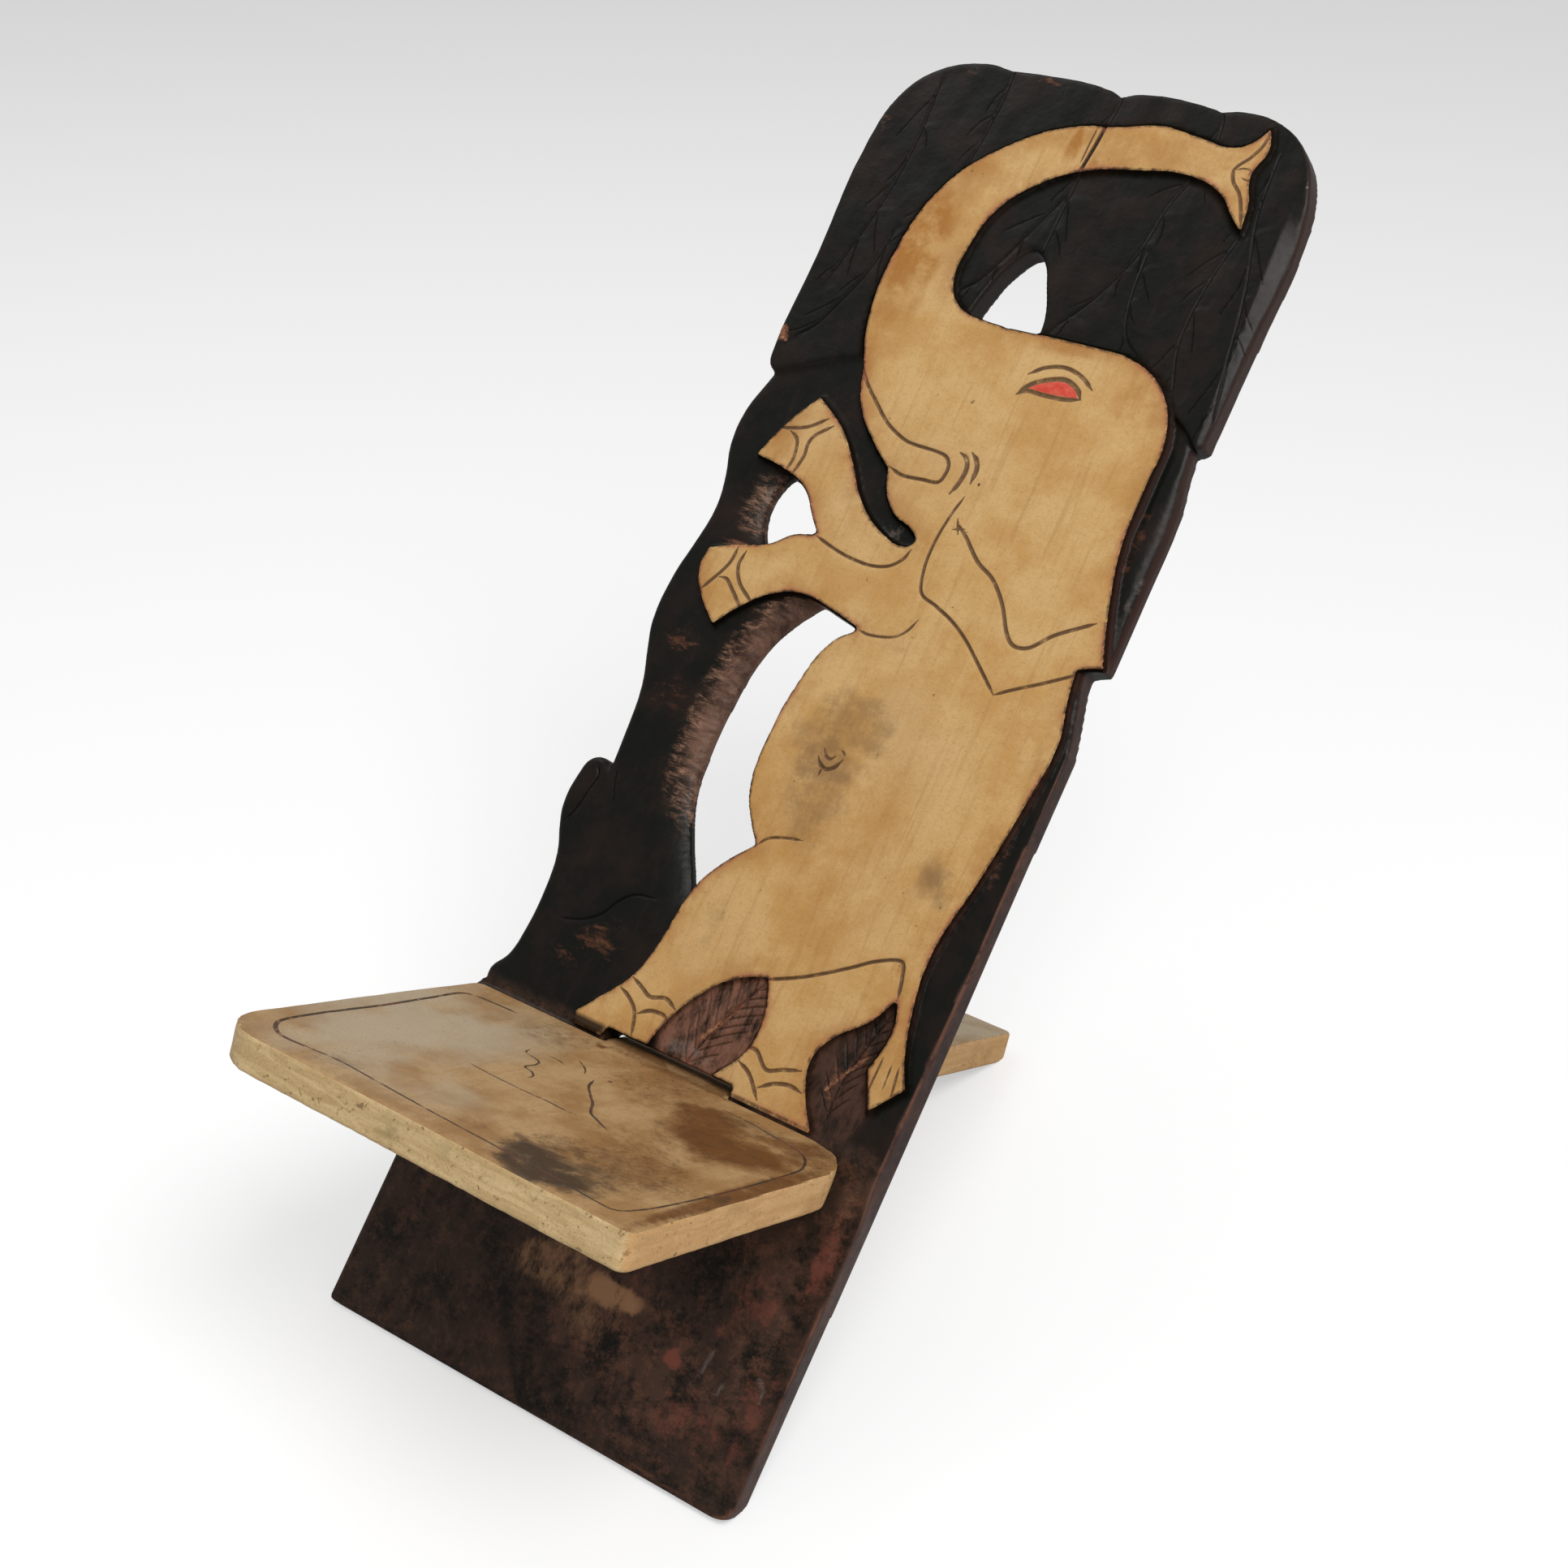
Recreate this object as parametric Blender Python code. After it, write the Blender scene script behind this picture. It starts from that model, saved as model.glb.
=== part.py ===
"""Birthing chair of two planks.

A carved back board leans back on its foot. The tongue of the seat board passes through a slot in it and
reaches the floor behind, so the two planks prop each other up and pull apart for carrying.
Board drawings use u to the right and v up the board, seat drawings use u to the right and q to the front.
All lengths are in millimetres and are turned into metres where the mesh is made.
"""

import math

import bmesh
import bpy
from mathutils import Vector

MM = 0.001

# Back board
BOARD_WIDTH = 320.0
BOARD_LENGTH = 920.0
BOARD_THICKNESS = 21.0
BOARD_INCLINE = 48.1
FOOT_WEAR = 9.0
FOOT_LEFT_DROP = 3.0
FOOT_CORNER_RADIUS = 9.0

# Seat board
SEAT_LEVEL = 221.0
SEAT_TILT = 23.5
SEAT_WIDTH = 319.0
SEAT_FRONT_NARROWING = 5.0
SEAT_DEPTH = 236.0
SEAT_THICKNESS = 24.0
SEAT_EDGE_ROUND = 2.5
FRONT_LEFT_RADIUS = 34.0
FRONT_RIGHT_RADIUS = 8.0
BACK_RIGHT_RADIUS = 44.0
BACK_RIGHT_TRIM = 9.0
BACK_LEFT_RADIUS = 10.0
TONGUE_CENTRE = -3.5
TONGUE_WIDTH = 96.0
TAIL_WIDTH = 86.0
TAIL_WEAR = 4.4
TAIL_CORNER_RADIUS = 4.0
SHOULDER_CORNER_RADIUS = 1.0
SHOULDER_LEAN_RUN = 60.0

# Border groove cut round the seat
GROOVE_SIDE_INSET = 18.0
GROOVE_FRONT_INSET = 21.0
GROOVE_BACK_INSET = 25.0
GROOVE_RADIUS = 1.4
GROOVE_DEPTH = 1.0
GROOVE_FRONT_RADIUS = 18.0
GROOVE_BACK_LEFT_RADIUS = 9.0
GROOVE_BACK_RIGHT_RADIUS = 27.0
GROOVE_LEFT_RUN = 42.0
GROOVE_RIGHT_RUN = 84.0

# Fits
SLOT_SIDE_GAP = 2.5
SLOT_GAP = 0.3
SHOULDER_GAP = 0.3

# Relief, as depths below the elephant's face, and the rounding of each layer's edge
PANEL_DEPTH = 0.5
CANOPY_DEPTH = 2.5
LEAF_DEPTH = 3.0
TREE_DEPTH = 5.5
ELEPHANT_EDGE = 1.0
PANEL_EDGE = 1.5
CANOPY_EDGE = 2.5
LEAF_EDGE = 1.0
TREE_EDGE = 5.0

# The size of board that the carving's outlines are drawn for
DRAWN_WIDTH = 320.0
DRAWN_LENGTH = 920.0
DRAWN_SEAT_LEVEL = 220.0

# Fineness of the curves
OUTLINE_STEPS = 4
ARC_STEPS = 6
ROUND_STEPS = 2
WELD = 0.01

# How far tools and layers pass a surface, and how much further each next layer goes behind the board
OVERSHOOT = 12.0
STAGGER = 1.0

NATURAL_WOOD = (0.52, 0.33, 0.15, 1.0)
SEAT_WOOD = (0.45, 0.32, 0.19, 1.0)
DARK_STAIN = (0.016, 0.012, 0.010, 1.0)
NATURAL_ROUGHNESS = 0.55
SEAT_ROUGHNESS = 0.65
DARK_ROUGHNESS = 0.45

# Outlines. A third entry marks a sharp corner, and the rest of the points are passed smoothly.
CORNER = True

TRUNK_TOP = [
    (120.5, 911, CORNER), (114, 900), (103, 893), (77, 895), (47, 898), (20, 892), (-18, 884.5),
    (-57, 861.5), (-87, 828), (-101.5, 768), (-98, 722),
]
TUSK_AND_CHIN = [
    (-86, 690), (-75, 664), (-52, 640.5), (-35.5, 628, CORNER), (-30.5, 615), (-17, 600), (2, 592),
    (5.5, 587),
]
UPPER_FORELEG = [
    (1, 583), (-17, 586.5), (-41, 602), (-62, 628), (-78, 645.5), (-106, 663.5, CORNER), (-122, 641),
    (-135, 612, CORNER), (-108, 607.5), (-88, 599.5), (-73, 582.5), (-63.5, 572.5, CORNER),
]
LOWER_FORELEG = [
    (-80, 568.5), (-95, 557.5), (-119, 550.5), (-138, 543, CORNER), (-138.5, 527), (-125.5, 507),
    (-109, 493, CORNER), (-95, 510), (-72, 527), (-53, 531.5), (-30, 527.5), (-5.5, 521.5, CORNER),
]
BELLY = [(-20, 509), (-31, 474), (-34.5, 440), (-31, 402), (-18, 380), (-9.5, 370, CORNER)]
LEFT_HIND_LEG = [
    (-27, 350.5), (-38.5, 330), (-45, 292), (-52, 266.5), (-68, 245), (-82, 229.5, CORNER),
    (-80, 222, CORNER), (-22, 222, CORNER), (-16, 242.5), (-3, 266), (17, 286.5), (38.5, 296, CORNER),
]
RIGHT_HIND_LEG = [
    (46, 276), (46, 254), (36, 236.5), (22, 222, CORNER), (109, 222, CORNER), (95, 243), (90, 262),
    (97, 277.5), (117, 297), (126.5, 314, CORNER),
]
TAIL = [
    (131, 298), (129, 281), (126, 270, CORNER), (138, 247, CORNER), (156, 268, CORNER), (148, 284),
    (140, 312), (136, 345),
]
SPINE_AND_EAR = [
    (146, 402), (154, 457), (157.5, 494), (151.5, 521), (148.5, 540, CORNER), (163.5, 546, CORNER),
    (153.5, 578), (143, 622), (141.5, 664), (141, 696), (127, 723.5), (102, 739), (60, 742.5),
]
TRUNK_UNDERSIDE = [
    (-18, 742.5), (-38, 749), (-47.5, 763), (-48, 788), (-40, 817), (-18, 841), (8, 855.5), (48, 864),
    (80, 867), (106, 859), (119, 846), (130.5, 836, CORNER), (128, 857), (121.5, 876), (126.5, 894),
]
ELEPHANT = (
    TRUNK_TOP + TUSK_AND_CHIN + UPPER_FORELEG + LOWER_FORELEG + BELLY + LEFT_HIND_LEG + RIGHT_HIND_LEG
    + TAIL + SPINE_AND_EAR + TRUNK_UNDERSIDE
)

CANOPY_LEFT = [
    (-130, 681), (-152, 672, CORNER), (-158, 676.5), (-160.5, 686), (-160.5, 760), (-161.5, 850),
    (-154, 884), (-136, 907), (-98, 920),
]
CANOPY_TOP = [
    (-77, 918, CORNER), (-50, 919.5), (0, 917), (9, 913.5, CORNER), (21, 918), (75, 917.5),
    (81.5, 916, CORNER), (96, 919),
]
CANOPY_RIGHT = [
    (124, 915.5), (148, 899), (161, 875), (166, 845), (165, 770), (163.5, 698, CORNER),
    (159, 694.5, CORNER), (145, 707), (120, 718), (100, 720, CORNER), (-80, 700, CORNER), (-105, 693),
]
CANOPY = CANOPY_LEFT + CANOPY_TOP + CANOPY_RIGHT
CANOPY_HOLE = [
    (-31, 735, CORNER), (-24, 764), (-14, 786), (-2, 797), (6, 792), (16, 774), (24.5, 752),
    (25.5, 735, CORNER),
]

TREE_LEFT = [
    (-158, 215, CORNER), (-162, 230), (-153, 244), (-149, 265), (-148.5, 292), (-152, 317), (-160, 335),
    (-164, 348), (-163, 370), (-157.5, 384), (-147, 386.5), (-141, 383, CORNER), (-142.5, 408),
    (-146, 440), (-155, 466), (-160.5, 484), (-160.5, 518), (-156, 543), (-152, 572), (-156, 594),
    (-163, 616), (-163.5, 641), (-157, 663), (-150, 684, CORNER),
]
TREE_RIGHT = [
    (-140, 700, CORNER), (100, 730, CORNER), (153, 706, CORNER), (157, 692), (159, 677), (162.5, 655),
    (163, 600), (163, 549, CORNER), (151, 544, CORNER), (110, 540, CORNER), (60, 215, CORNER),
]
TREE = TREE_LEFT + TREE_RIGHT
SPINE_STRIP = [
    (151, 543, CORNER), (153, 530), (156, 518), (159.5, 504), (162.7, 489, CORNER), (161.8, 400),
    (162, 300), (161.6, 218, CORNER), (80, 218, CORNER), (100, 543, CORNER),
]
BELLY_GAP = [
    (-44, 534, CORNER), (-61, 513.5), (-72.5, 491), (-79, 452.5), (-79.5, 412), (-75.5, 384.5), (-63, 357),
    (-49, 333), (-41, 318, CORNER), (-20, 345), (2, 371), (-20, 395), (-26, 440), (-18, 495), (4, 522),
    (-20, 536),
]
FORELEG_GAP = [
    (-107, 611, CORNER), (-114, 598), (-116, 586), (-114.5, 573), (-104, 553, CORNER), (-70, 560),
    (-52, 572), (-65, 592), (-85, 608),
]

LEAF_BETWEEN_FEET = [
    (-26, 215, CORNER), (-20, 245), (-6, 270), (16, 291), (42, 302, CORNER), (51, 277), (50, 250),
    (38, 230), (26, 215, CORNER),
]
LEAF_UNDER_TAIL = [
    (127, 318, CORNER), (112, 297), (92, 278), (84, 262), (90, 240), (106, 228, CORNER), (118, 240),
    (127, 262), (133, 290),
]

PANEL_TOP = 223.0
FOOT_RIGHT = 159.0
FOOT_LEFT = -162.5
PANEL_TOP_RIGHT = 161.6
PANEL_TOP_LEFT = -162.0
PANEL_CORNER_RADIUS = 3.0
RAMP_START = 214.0
RAMP_END = 355.0

# Values worked out from the sizes above
INCLINE = math.radians(BOARD_INCLINE)
TILT = math.radians(SEAT_TILT)
SEAT_TO_BOARD = math.pi - INCLINE - TILT
SLOPE_THROUGH_BOARD = -1.0 / math.tan(SEAT_TO_BOARD)
FOOT_HEIGHT = BOARD_THICKNESS * math.cos(INCLINE) - FOOT_WEAR
SEAT_LINE_HEIGHT = FOOT_HEIGHT + SEAT_LEVEL * math.sin(INCLINE)
SEAT_LINE_SETBACK = SEAT_LEVEL * math.cos(INCLINE)
TONGUE_LENGTH = (SEAT_LINE_HEIGHT - SEAT_THICKNESS * math.cos(TILT) + TAIL_WEAR) / math.sin(TILT)
SLOT_BOTTOM = SEAT_LEVEL - SEAT_THICKNESS / math.sin(SEAT_TO_BOARD) - SLOT_GAP
SLOT_TOP = SEAT_LEVEL + BOARD_THICKNESS * SLOPE_THROUGH_BOARD + SLOT_GAP
SLOT_WIDTH = TONGUE_WIDTH + 2.0 * SLOT_SIDE_GAP
SHOULDER = SHOULDER_GAP / math.sin(SEAT_TO_BOARD)


def clear_scene():
    for old in list(bpy.data.objects):
        bpy.data.objects.remove(old)


def new_collection(name):
    group = bpy.data.collections.new(name)
    bpy.context.scene.collection.children.link(group)
    return group


def wood(name, colour, roughness):
    material = bpy.data.materials.new(name)
    material.use_nodes = True
    shader = material.node_tree.nodes["Principled BSDF"]
    shader.inputs["Base Color"].default_value = colour
    shader.inputs["Roughness"].default_value = roughness
    shader.inputs["Metallic"].default_value = 0.0
    return material


def on_board(point):
    """Stretches a drawn point to the board's real width, seat level and length, in metres."""
    u, v = point[:2]
    if v < DRAWN_SEAT_LEVEL:
        v = v * SEAT_LEVEL / DRAWN_SEAT_LEVEL
    else:
        share = (v - DRAWN_SEAT_LEVEL) / (DRAWN_LENGTH - DRAWN_SEAT_LEVEL)
        v = SEAT_LEVEL + share * (BOARD_LENGTH - SEAT_LEVEL)
    return Vector((u * BOARD_WIDTH / DRAWN_WIDTH, v, 0.0)) * MM


def add_smooth_outline(curve, points):
    """A closed Bezier spline through drawn board points, with sharp corners where they are marked."""
    spline = curve.splines.new("BEZIER")
    spline.bezier_points.add(len(points) - 1)
    spline.use_cyclic_u = True
    spline.resolution_u = OUTLINE_STEPS
    for knot, point in zip(spline.bezier_points, points):
        knot.co = on_board(point)
    for knot, point in zip(spline.bezier_points, points):
        handle = "VECTOR" if len(point) == 3 else "AUTO"
        knot.handle_left_type = handle
        knot.handle_right_type = handle


def rounded_corner(before, corner, after, radius):
    """Points of the arc that rounds one corner of a straight-sided outline."""
    into = (before - corner).normalized()
    out = (after - corner).normalized()
    half_angle = into.angle(out) / 2.0
    reach = radius / math.tan(half_angle)
    centre = corner + (into + out).normalized() * radius / math.sin(half_angle)
    start = corner + into * reach - centre
    end = corner + out * reach - centre
    shares = [step / ARC_STEPS for step in range(ARC_STEPS + 1)]
    return [centre + start.lerp(end, share).normalized() * radius for share in shares]


def rounded_polygon(corners):
    """Outline points from (u, q, radius) corners, in the corners' own units."""
    points = []
    flat = [Vector((*corner[:2], 0.0)) for corner in corners]
    for index, corner in enumerate(flat):
        before = flat[index - 1]
        after = flat[(index + 1) % len(flat)]
        radius = corners[index][2]
        points += rounded_corner(before, corner, after, radius)
    return points


def add_straight_outline(curve, points, closed=True):
    spline = curve.splines.new("POLY")
    spline.points.add(len(points) - 1)
    spline.use_cyclic_u = closed
    for knot, point in zip(spline.points, points):
        knot.co = (*(point * MM), 1.0)


def flat_curve(name, bottom, top, edge):
    """An empty flat outline, filled between two heights, with its rims rounded by the edge radius."""
    curve = bpy.data.curves.new(name, "CURVE")
    curve.dimensions = "2D"
    curve.fill_mode = "BOTH"
    curve.extrude = ((top - bottom) / 2.0 - edge) * MM
    curve.bevel_depth = edge * MM
    curve.bevel_resolution = ROUND_STEPS
    curve.offset = -edge * MM
    return curve


def mesh_from_curve(curve, height, parent, group):
    """Turns a curve into a welded closed mesh object that keeps the curve's place under its parent."""
    drawn = bpy.data.objects.new(curve.name + "_outline", curve)
    group.objects.link(drawn)
    depsgraph = bpy.context.evaluated_depsgraph_get()
    mesh = bpy.data.meshes.new_from_object(drawn.evaluated_get(depsgraph))
    shape = bmesh.new()
    shape.from_mesh(mesh)
    bmesh.ops.remove_doubles(shape, verts=shape.verts, dist=WELD * MM)
    bmesh.ops.recalc_face_normals(shape, faces=shape.faces)
    bmesh.ops.translate(shape, verts=shape.verts, vec=(0.0, 0.0, height * MM))
    shape.to_mesh(mesh)
    shape.free()
    solid = bpy.data.objects.new(curve.name, mesh)
    group.objects.link(solid)
    solid.parent = parent
    bpy.data.objects.remove(drawn)
    return solid


def as_tool(tool):
    tool.hide_render = True
    tool.display_type = "WIRE"
    return tool


def layer_bottom(order):
    return -BOARD_THICKNESS - OVERSHOOT - order * STAGGER


def board_layer(name, outlines, depth, edge, order, board, group, material):
    """One level of the carving, through the whole thickness of the plank and a little past its back."""
    top = -depth
    bottom = layer_bottom(order)
    curve = flat_curve(name, bottom, top, edge)
    for points in outlines:
        add_smooth_outline(curve, points)
    layer = mesh_from_curve(curve, (top + bottom) / 2.0, board, group)
    layer.data.materials.append(material)
    return layer


def box(name, low, high, parent, tools):
    """A block between two corners given in millimetres in the parent's frame."""
    bpy.ops.mesh.primitive_cube_add(size=1.0)
    block = bpy.context.object
    for group in list(block.users_collection):
        group.objects.unlink(block)
    tools.objects.link(block)
    block.name = name
    block.parent = parent
    low = Vector(low)
    high = Vector(high)
    block.location = (low + high) / 2.0 * MM
    block.scale = (high - low) * MM
    return as_tool(block)


def combine(target, tool, operation):
    step = target.modifiers.new(tool.name, "BOOLEAN")
    step.operation = operation
    step.object = tool
    step.solver = "EXACT"
    step.material_mode = "TRANSFER"


def prism(name, profile, half_width, board, tools):
    """A bar across the board with a profile of drawn heights up the board and real depths."""
    shape = bmesh.new()
    ends = []
    for u in (-half_width, half_width):
        ends.append([shape.verts.new((u * MM, on_board((u, v)).y, w * MM)) for v, w in profile])
    left, right = ends
    shape.faces.new(left)
    shape.faces.new(right)
    for index in range(len(profile)):
        shape.faces.new((left[index - 1], left[index], right[index], right[index - 1]))
    bmesh.ops.recalc_face_normals(shape, faces=shape.faces)
    mesh = bpy.data.meshes.new(name)
    shape.to_mesh(mesh)
    shape.free()
    bar = bpy.data.objects.new(name, mesh)
    tools.objects.link(bar)
    bar.parent = board
    return as_tool(bar)


def make_spine_strip(board, tools, dark):
    """The dark strip behind the elephant's back, which sinks slowly from the foot panel into the carving."""
    strip = board_layer("spine_strip", [SPINE_STRIP], PANEL_DEPTH, 0.0, 1, board, tools, dark)
    profile = [
        (RAMP_START, -PANEL_DEPTH),
        (RAMP_END, -TREE_DEPTH),
        (DRAWN_LENGTH, -TREE_DEPTH),
        (DRAWN_LENGTH, OVERSHOOT),
        (RAMP_START, OVERSHOOT),
    ]
    combine(strip, prism("spine_strip_face", profile, BOARD_WIDTH, board, tools), "DIFFERENCE")
    return strip


def make_panel(board, tools, dark):
    """The plain foot of the board, below the carving."""
    top = -PANEL_DEPTH
    bottom = layer_bottom(5)
    curve = flat_curve("panel", bottom, top, PANEL_EDGE)
    drawn = [
        (FOOT_LEFT, -FOOT_LEFT_DROP, PANEL_CORNER_RADIUS),
        (FOOT_RIGHT, 0.0, FOOT_CORNER_RADIUS),
        (PANEL_TOP_RIGHT, PANEL_TOP, PANEL_CORNER_RADIUS),
        (PANEL_TOP_LEFT, PANEL_TOP, PANEL_CORNER_RADIUS),
    ]
    corners = []
    for u, v, radius in drawn:
        real = on_board((u, v)) / MM
        corners.append((real.x, real.y, radius))
    add_straight_outline(curve, rounded_polygon(corners))
    layer = mesh_from_curve(curve, (top + bottom) / 2.0, board, tools)
    layer.data.materials.append(dark)
    return layer


def make_back_board(board, parts, tools, floor, dark, natural):
    gaps = [BELLY_GAP, FORELEG_GAP]
    canopy = [CANOPY, CANOPY_HOLE]
    tree = board_layer("back_board", [TREE] + gaps, TREE_DEPTH, TREE_EDGE, 0, board, parts, dark)
    layers = [
        make_spine_strip(board, tools, dark),
        board_layer("canopy", canopy, CANOPY_DEPTH, CANOPY_EDGE, 2, board, tools, dark),
        board_layer("leaf_between_feet", [LEAF_BETWEEN_FEET], LEAF_DEPTH, LEAF_EDGE, 3, board, tools, dark),
        board_layer("leaf_under_tail", [LEAF_UNDER_TAIL], LEAF_DEPTH, LEAF_EDGE, 4, board, tools, dark),
        make_panel(board, tools, dark),
        board_layer("elephant", [ELEPHANT], 0.0, ELEPHANT_EDGE, 6, board, tools, natural),
    ]
    for layer in layers:
        combine(tree, as_tool(layer), "UNION")
    reach = BOARD_LENGTH + BOARD_WIDTH
    behind = box(
        "behind_board",
        (-reach, -reach, -reach),
        (reach, reach, -BOARD_THICKNESS),
        board,
        tools,
    )
    half_slot = SLOT_WIDTH / 2.0
    slot = box(
        "slot",
        (TONGUE_CENTRE - half_slot, SLOT_BOTTOM, -BOARD_THICKNESS - OVERSHOOT),
        (TONGUE_CENTRE + half_slot, SLOT_TOP, OVERSHOOT),
        board,
        tools,
    )
    for tool in (behind, slot, floor):
        combine(tree, tool, "DIFFERENCE")
    return tree


def seat_outline():
    """Corners of the seat, its shoulders and its tongue, going round from the front left."""
    half_back = SEAT_WIDTH / 2.0
    half_front = half_back - SEAT_FRONT_NARROWING / 2.0
    half_tongue = TONGUE_WIDTH / 2.0
    half_tail = TAIL_WIDTH / 2.0
    tail = -TONGUE_LENGTH
    return [
        (-half_front, SEAT_DEPTH, FRONT_LEFT_RADIUS),
        (-half_back, SHOULDER, BACK_LEFT_RADIUS),
        (TONGUE_CENTRE - half_tongue, SHOULDER, SHOULDER_CORNER_RADIUS),
        (TONGUE_CENTRE - half_tail, tail, TAIL_CORNER_RADIUS),
        (TONGUE_CENTRE + half_tail, tail, TAIL_CORNER_RADIUS),
        (TONGUE_CENTRE + half_tongue, SHOULDER, SHOULDER_CORNER_RADIUS),
        (half_back - BACK_RIGHT_TRIM, SHOULDER, BACK_RIGHT_RADIUS),
        (half_front, SEAT_DEPTH, FRONT_RIGHT_RADIUS),
    ]


def to_seat(points):
    """Seat drawings have q to the front, and the seat's own frame has y to the back."""
    return [Vector((point.x, -point.y, 0.0)) for point in points]


def lean_shoulders(mesh):
    """Leans the seat's back edge along the board, so the lower a point is, the further it moves forward."""
    for point in mesh.vertices:
        front = -point.co.y / MM
        share = min(1.0, 1.0 - front / SHOULDER_LEAN_RUN)
        if share > 0.0 and front > SHOULDER - 2.0 * SHOULDER_CORNER_RADIUS:
            point.co.y += point.co.z * SLOPE_THROUGH_BOARD * share


def make_groove(seat, tools):
    """A shallow round groove along the border, open behind, where the tongue leaves the seat."""
    side = SEAT_WIDTH / 2.0 - GROOVE_SIDE_INSET
    front = SEAT_DEPTH - GROOVE_FRONT_INSET
    start = Vector((-side + GROOVE_LEFT_RUN, GROOVE_BACK_INSET, 0.0))
    end = Vector((side - GROOVE_RIGHT_RUN, GROOVE_BACK_INSET, 0.0))
    turns = rounded_polygon([
        (-side, GROOVE_BACK_INSET, GROOVE_BACK_LEFT_RADIUS),
        (-side, front, GROOVE_FRONT_RADIUS),
        (side, front, GROOVE_FRONT_RADIUS),
        (side, GROOVE_BACK_INSET, GROOVE_BACK_RIGHT_RADIUS),
    ])
    curve = bpy.data.curves.new("border_groove", "CURVE")
    curve.dimensions = "3D"
    curve.bevel_depth = GROOVE_RADIUS * MM
    curve.bevel_resolution = ROUND_STEPS
    curve.use_fill_caps = True
    add_straight_outline(curve, to_seat([start] + turns + [end]), closed=False)
    return as_tool(mesh_from_curve(curve, GROOVE_RADIUS - GROOVE_DEPTH, seat, tools))


def make_seat_board(seat, parts, tools, floor, pale):
    curve = flat_curve("seat_board", -SEAT_THICKNESS, 0.0, SEAT_EDGE_ROUND)
    add_straight_outline(curve, to_seat(rounded_polygon(seat_outline())))
    board = mesh_from_curve(curve, -SEAT_THICKNESS / 2.0, seat, parts)
    lean_shoulders(board.data)
    board.data.materials.append(pale)
    combine(board, make_groove(seat, tools), "DIFFERENCE")
    combine(board, floor, "DIFFERENCE")
    return board


def empty(name, parent, location, turn, group):
    holder = bpy.data.objects.new(name, None)
    group.objects.link(holder)
    holder.parent = parent
    holder.location = Vector(location) * MM
    holder.rotation_euler = (turn, 0.0, 0.0)
    return holder


def centre_on_floor(root, pieces):
    """Moves the chair so that the middle of its box, seen from above, is at the origin."""
    bpy.context.view_layer.update()
    depsgraph = bpy.context.evaluated_depsgraph_get()
    corners = []
    for piece in pieces:
        shape = piece.evaluated_get(depsgraph)
        corners += [shape.matrix_world @ Vector(corner) for corner in shape.bound_box]
    for axis in (0, 1):
        values = [corner[axis] for corner in corners]
        root.location[axis] = -(min(values) + max(values)) / 2.0


def main():
    clear_scene()
    parts = new_collection("birthing_chair")
    tools = new_collection("carving_layers_and_cutters")
    root = empty("chair_origin", None, (0.0, 0.0, 0.0), 0.0, parts)
    board = empty("board_frame", root, (0.0, 0.0, FOOT_HEIGHT), INCLINE, parts)
    seat = empty("seat_slide_axis", root, (0.0, SEAT_LINE_SETBACK, SEAT_LINE_HEIGHT), -TILT, parts)
    bpy.context.view_layer.update()
    reach = 2.0 * BOARD_LENGTH
    floor = box("floor_plane", (-reach, -reach, -reach), (reach, reach, 0.0), root, tools)
    dark = wood("dark_stained_wood", DARK_STAIN, DARK_ROUGHNESS)
    natural = wood("elephant_wood", NATURAL_WOOD, NATURAL_ROUGHNESS)
    pale = wood("seat_wood", SEAT_WOOD, SEAT_ROUGHNESS)
    back_board = make_back_board(board, parts, tools, floor, dark, natural)
    seat_board = make_seat_board(seat, parts, tools, floor, pale)
    centre_on_floor(root, (back_board, seat_board))


main()
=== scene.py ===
"""Looks of the birthing chair: a carved back board and a worn seat board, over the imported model's frame.

Lengths are metres, except where a comment says millimetres. In the back board's own frame x runs across,
y up the board and z out of the carved face. In the seat board's own frame x runs across, y towards the
tail and z out of the top. Strokes on the board are (across, up) and strokes on the seat are
(across, forward from the back edge), both in millimetres.
"""

import itertools
import math
import random

import bmesh
import bpy
import numpy as np
from mathutils import Euler, Matrix, Vector
from mathutils.kdtree import KDTree


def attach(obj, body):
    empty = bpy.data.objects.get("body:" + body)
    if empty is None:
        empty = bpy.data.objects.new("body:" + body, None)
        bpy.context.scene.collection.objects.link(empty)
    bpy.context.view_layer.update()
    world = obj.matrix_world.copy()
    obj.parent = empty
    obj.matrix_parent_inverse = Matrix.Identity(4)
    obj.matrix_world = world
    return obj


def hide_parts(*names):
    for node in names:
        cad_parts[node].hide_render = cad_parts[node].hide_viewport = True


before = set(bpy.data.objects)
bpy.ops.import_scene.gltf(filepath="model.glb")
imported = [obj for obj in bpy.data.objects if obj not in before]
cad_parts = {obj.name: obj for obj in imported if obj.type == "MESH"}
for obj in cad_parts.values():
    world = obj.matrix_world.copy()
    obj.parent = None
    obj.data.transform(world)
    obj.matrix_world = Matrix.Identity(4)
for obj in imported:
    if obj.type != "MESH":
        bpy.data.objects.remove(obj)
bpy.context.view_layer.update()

MM = 0.001
BOARD_ORIGIN = Vector((-0.001136, -0.275878, 0.005024))
BOARD_INCLINE = 48.1
SEAT_ORIGIN = Vector((-0.001136, -0.128287, 0.169517))
SEAT_TILT = -23.5
BOARD_VOXEL = 1.5 * MM
SEAT_VOXEL = 1.3 * MM
WELD_DISTANCE = 1e-6

CAMERA_PLACE = (0.80347, -1.08337, 1.08692)
CAMERA_TURN = (61.6313, -0.7102, 36.6735)
CAMERA_LENS = 56.788
CAMERA_SHIFT = (-0.01461, -0.0385)


def turned_frame(origin, degrees):
    return Matrix.Translation(origin) @ Matrix.Rotation(math.radians(degrees), 4, "X")


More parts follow.
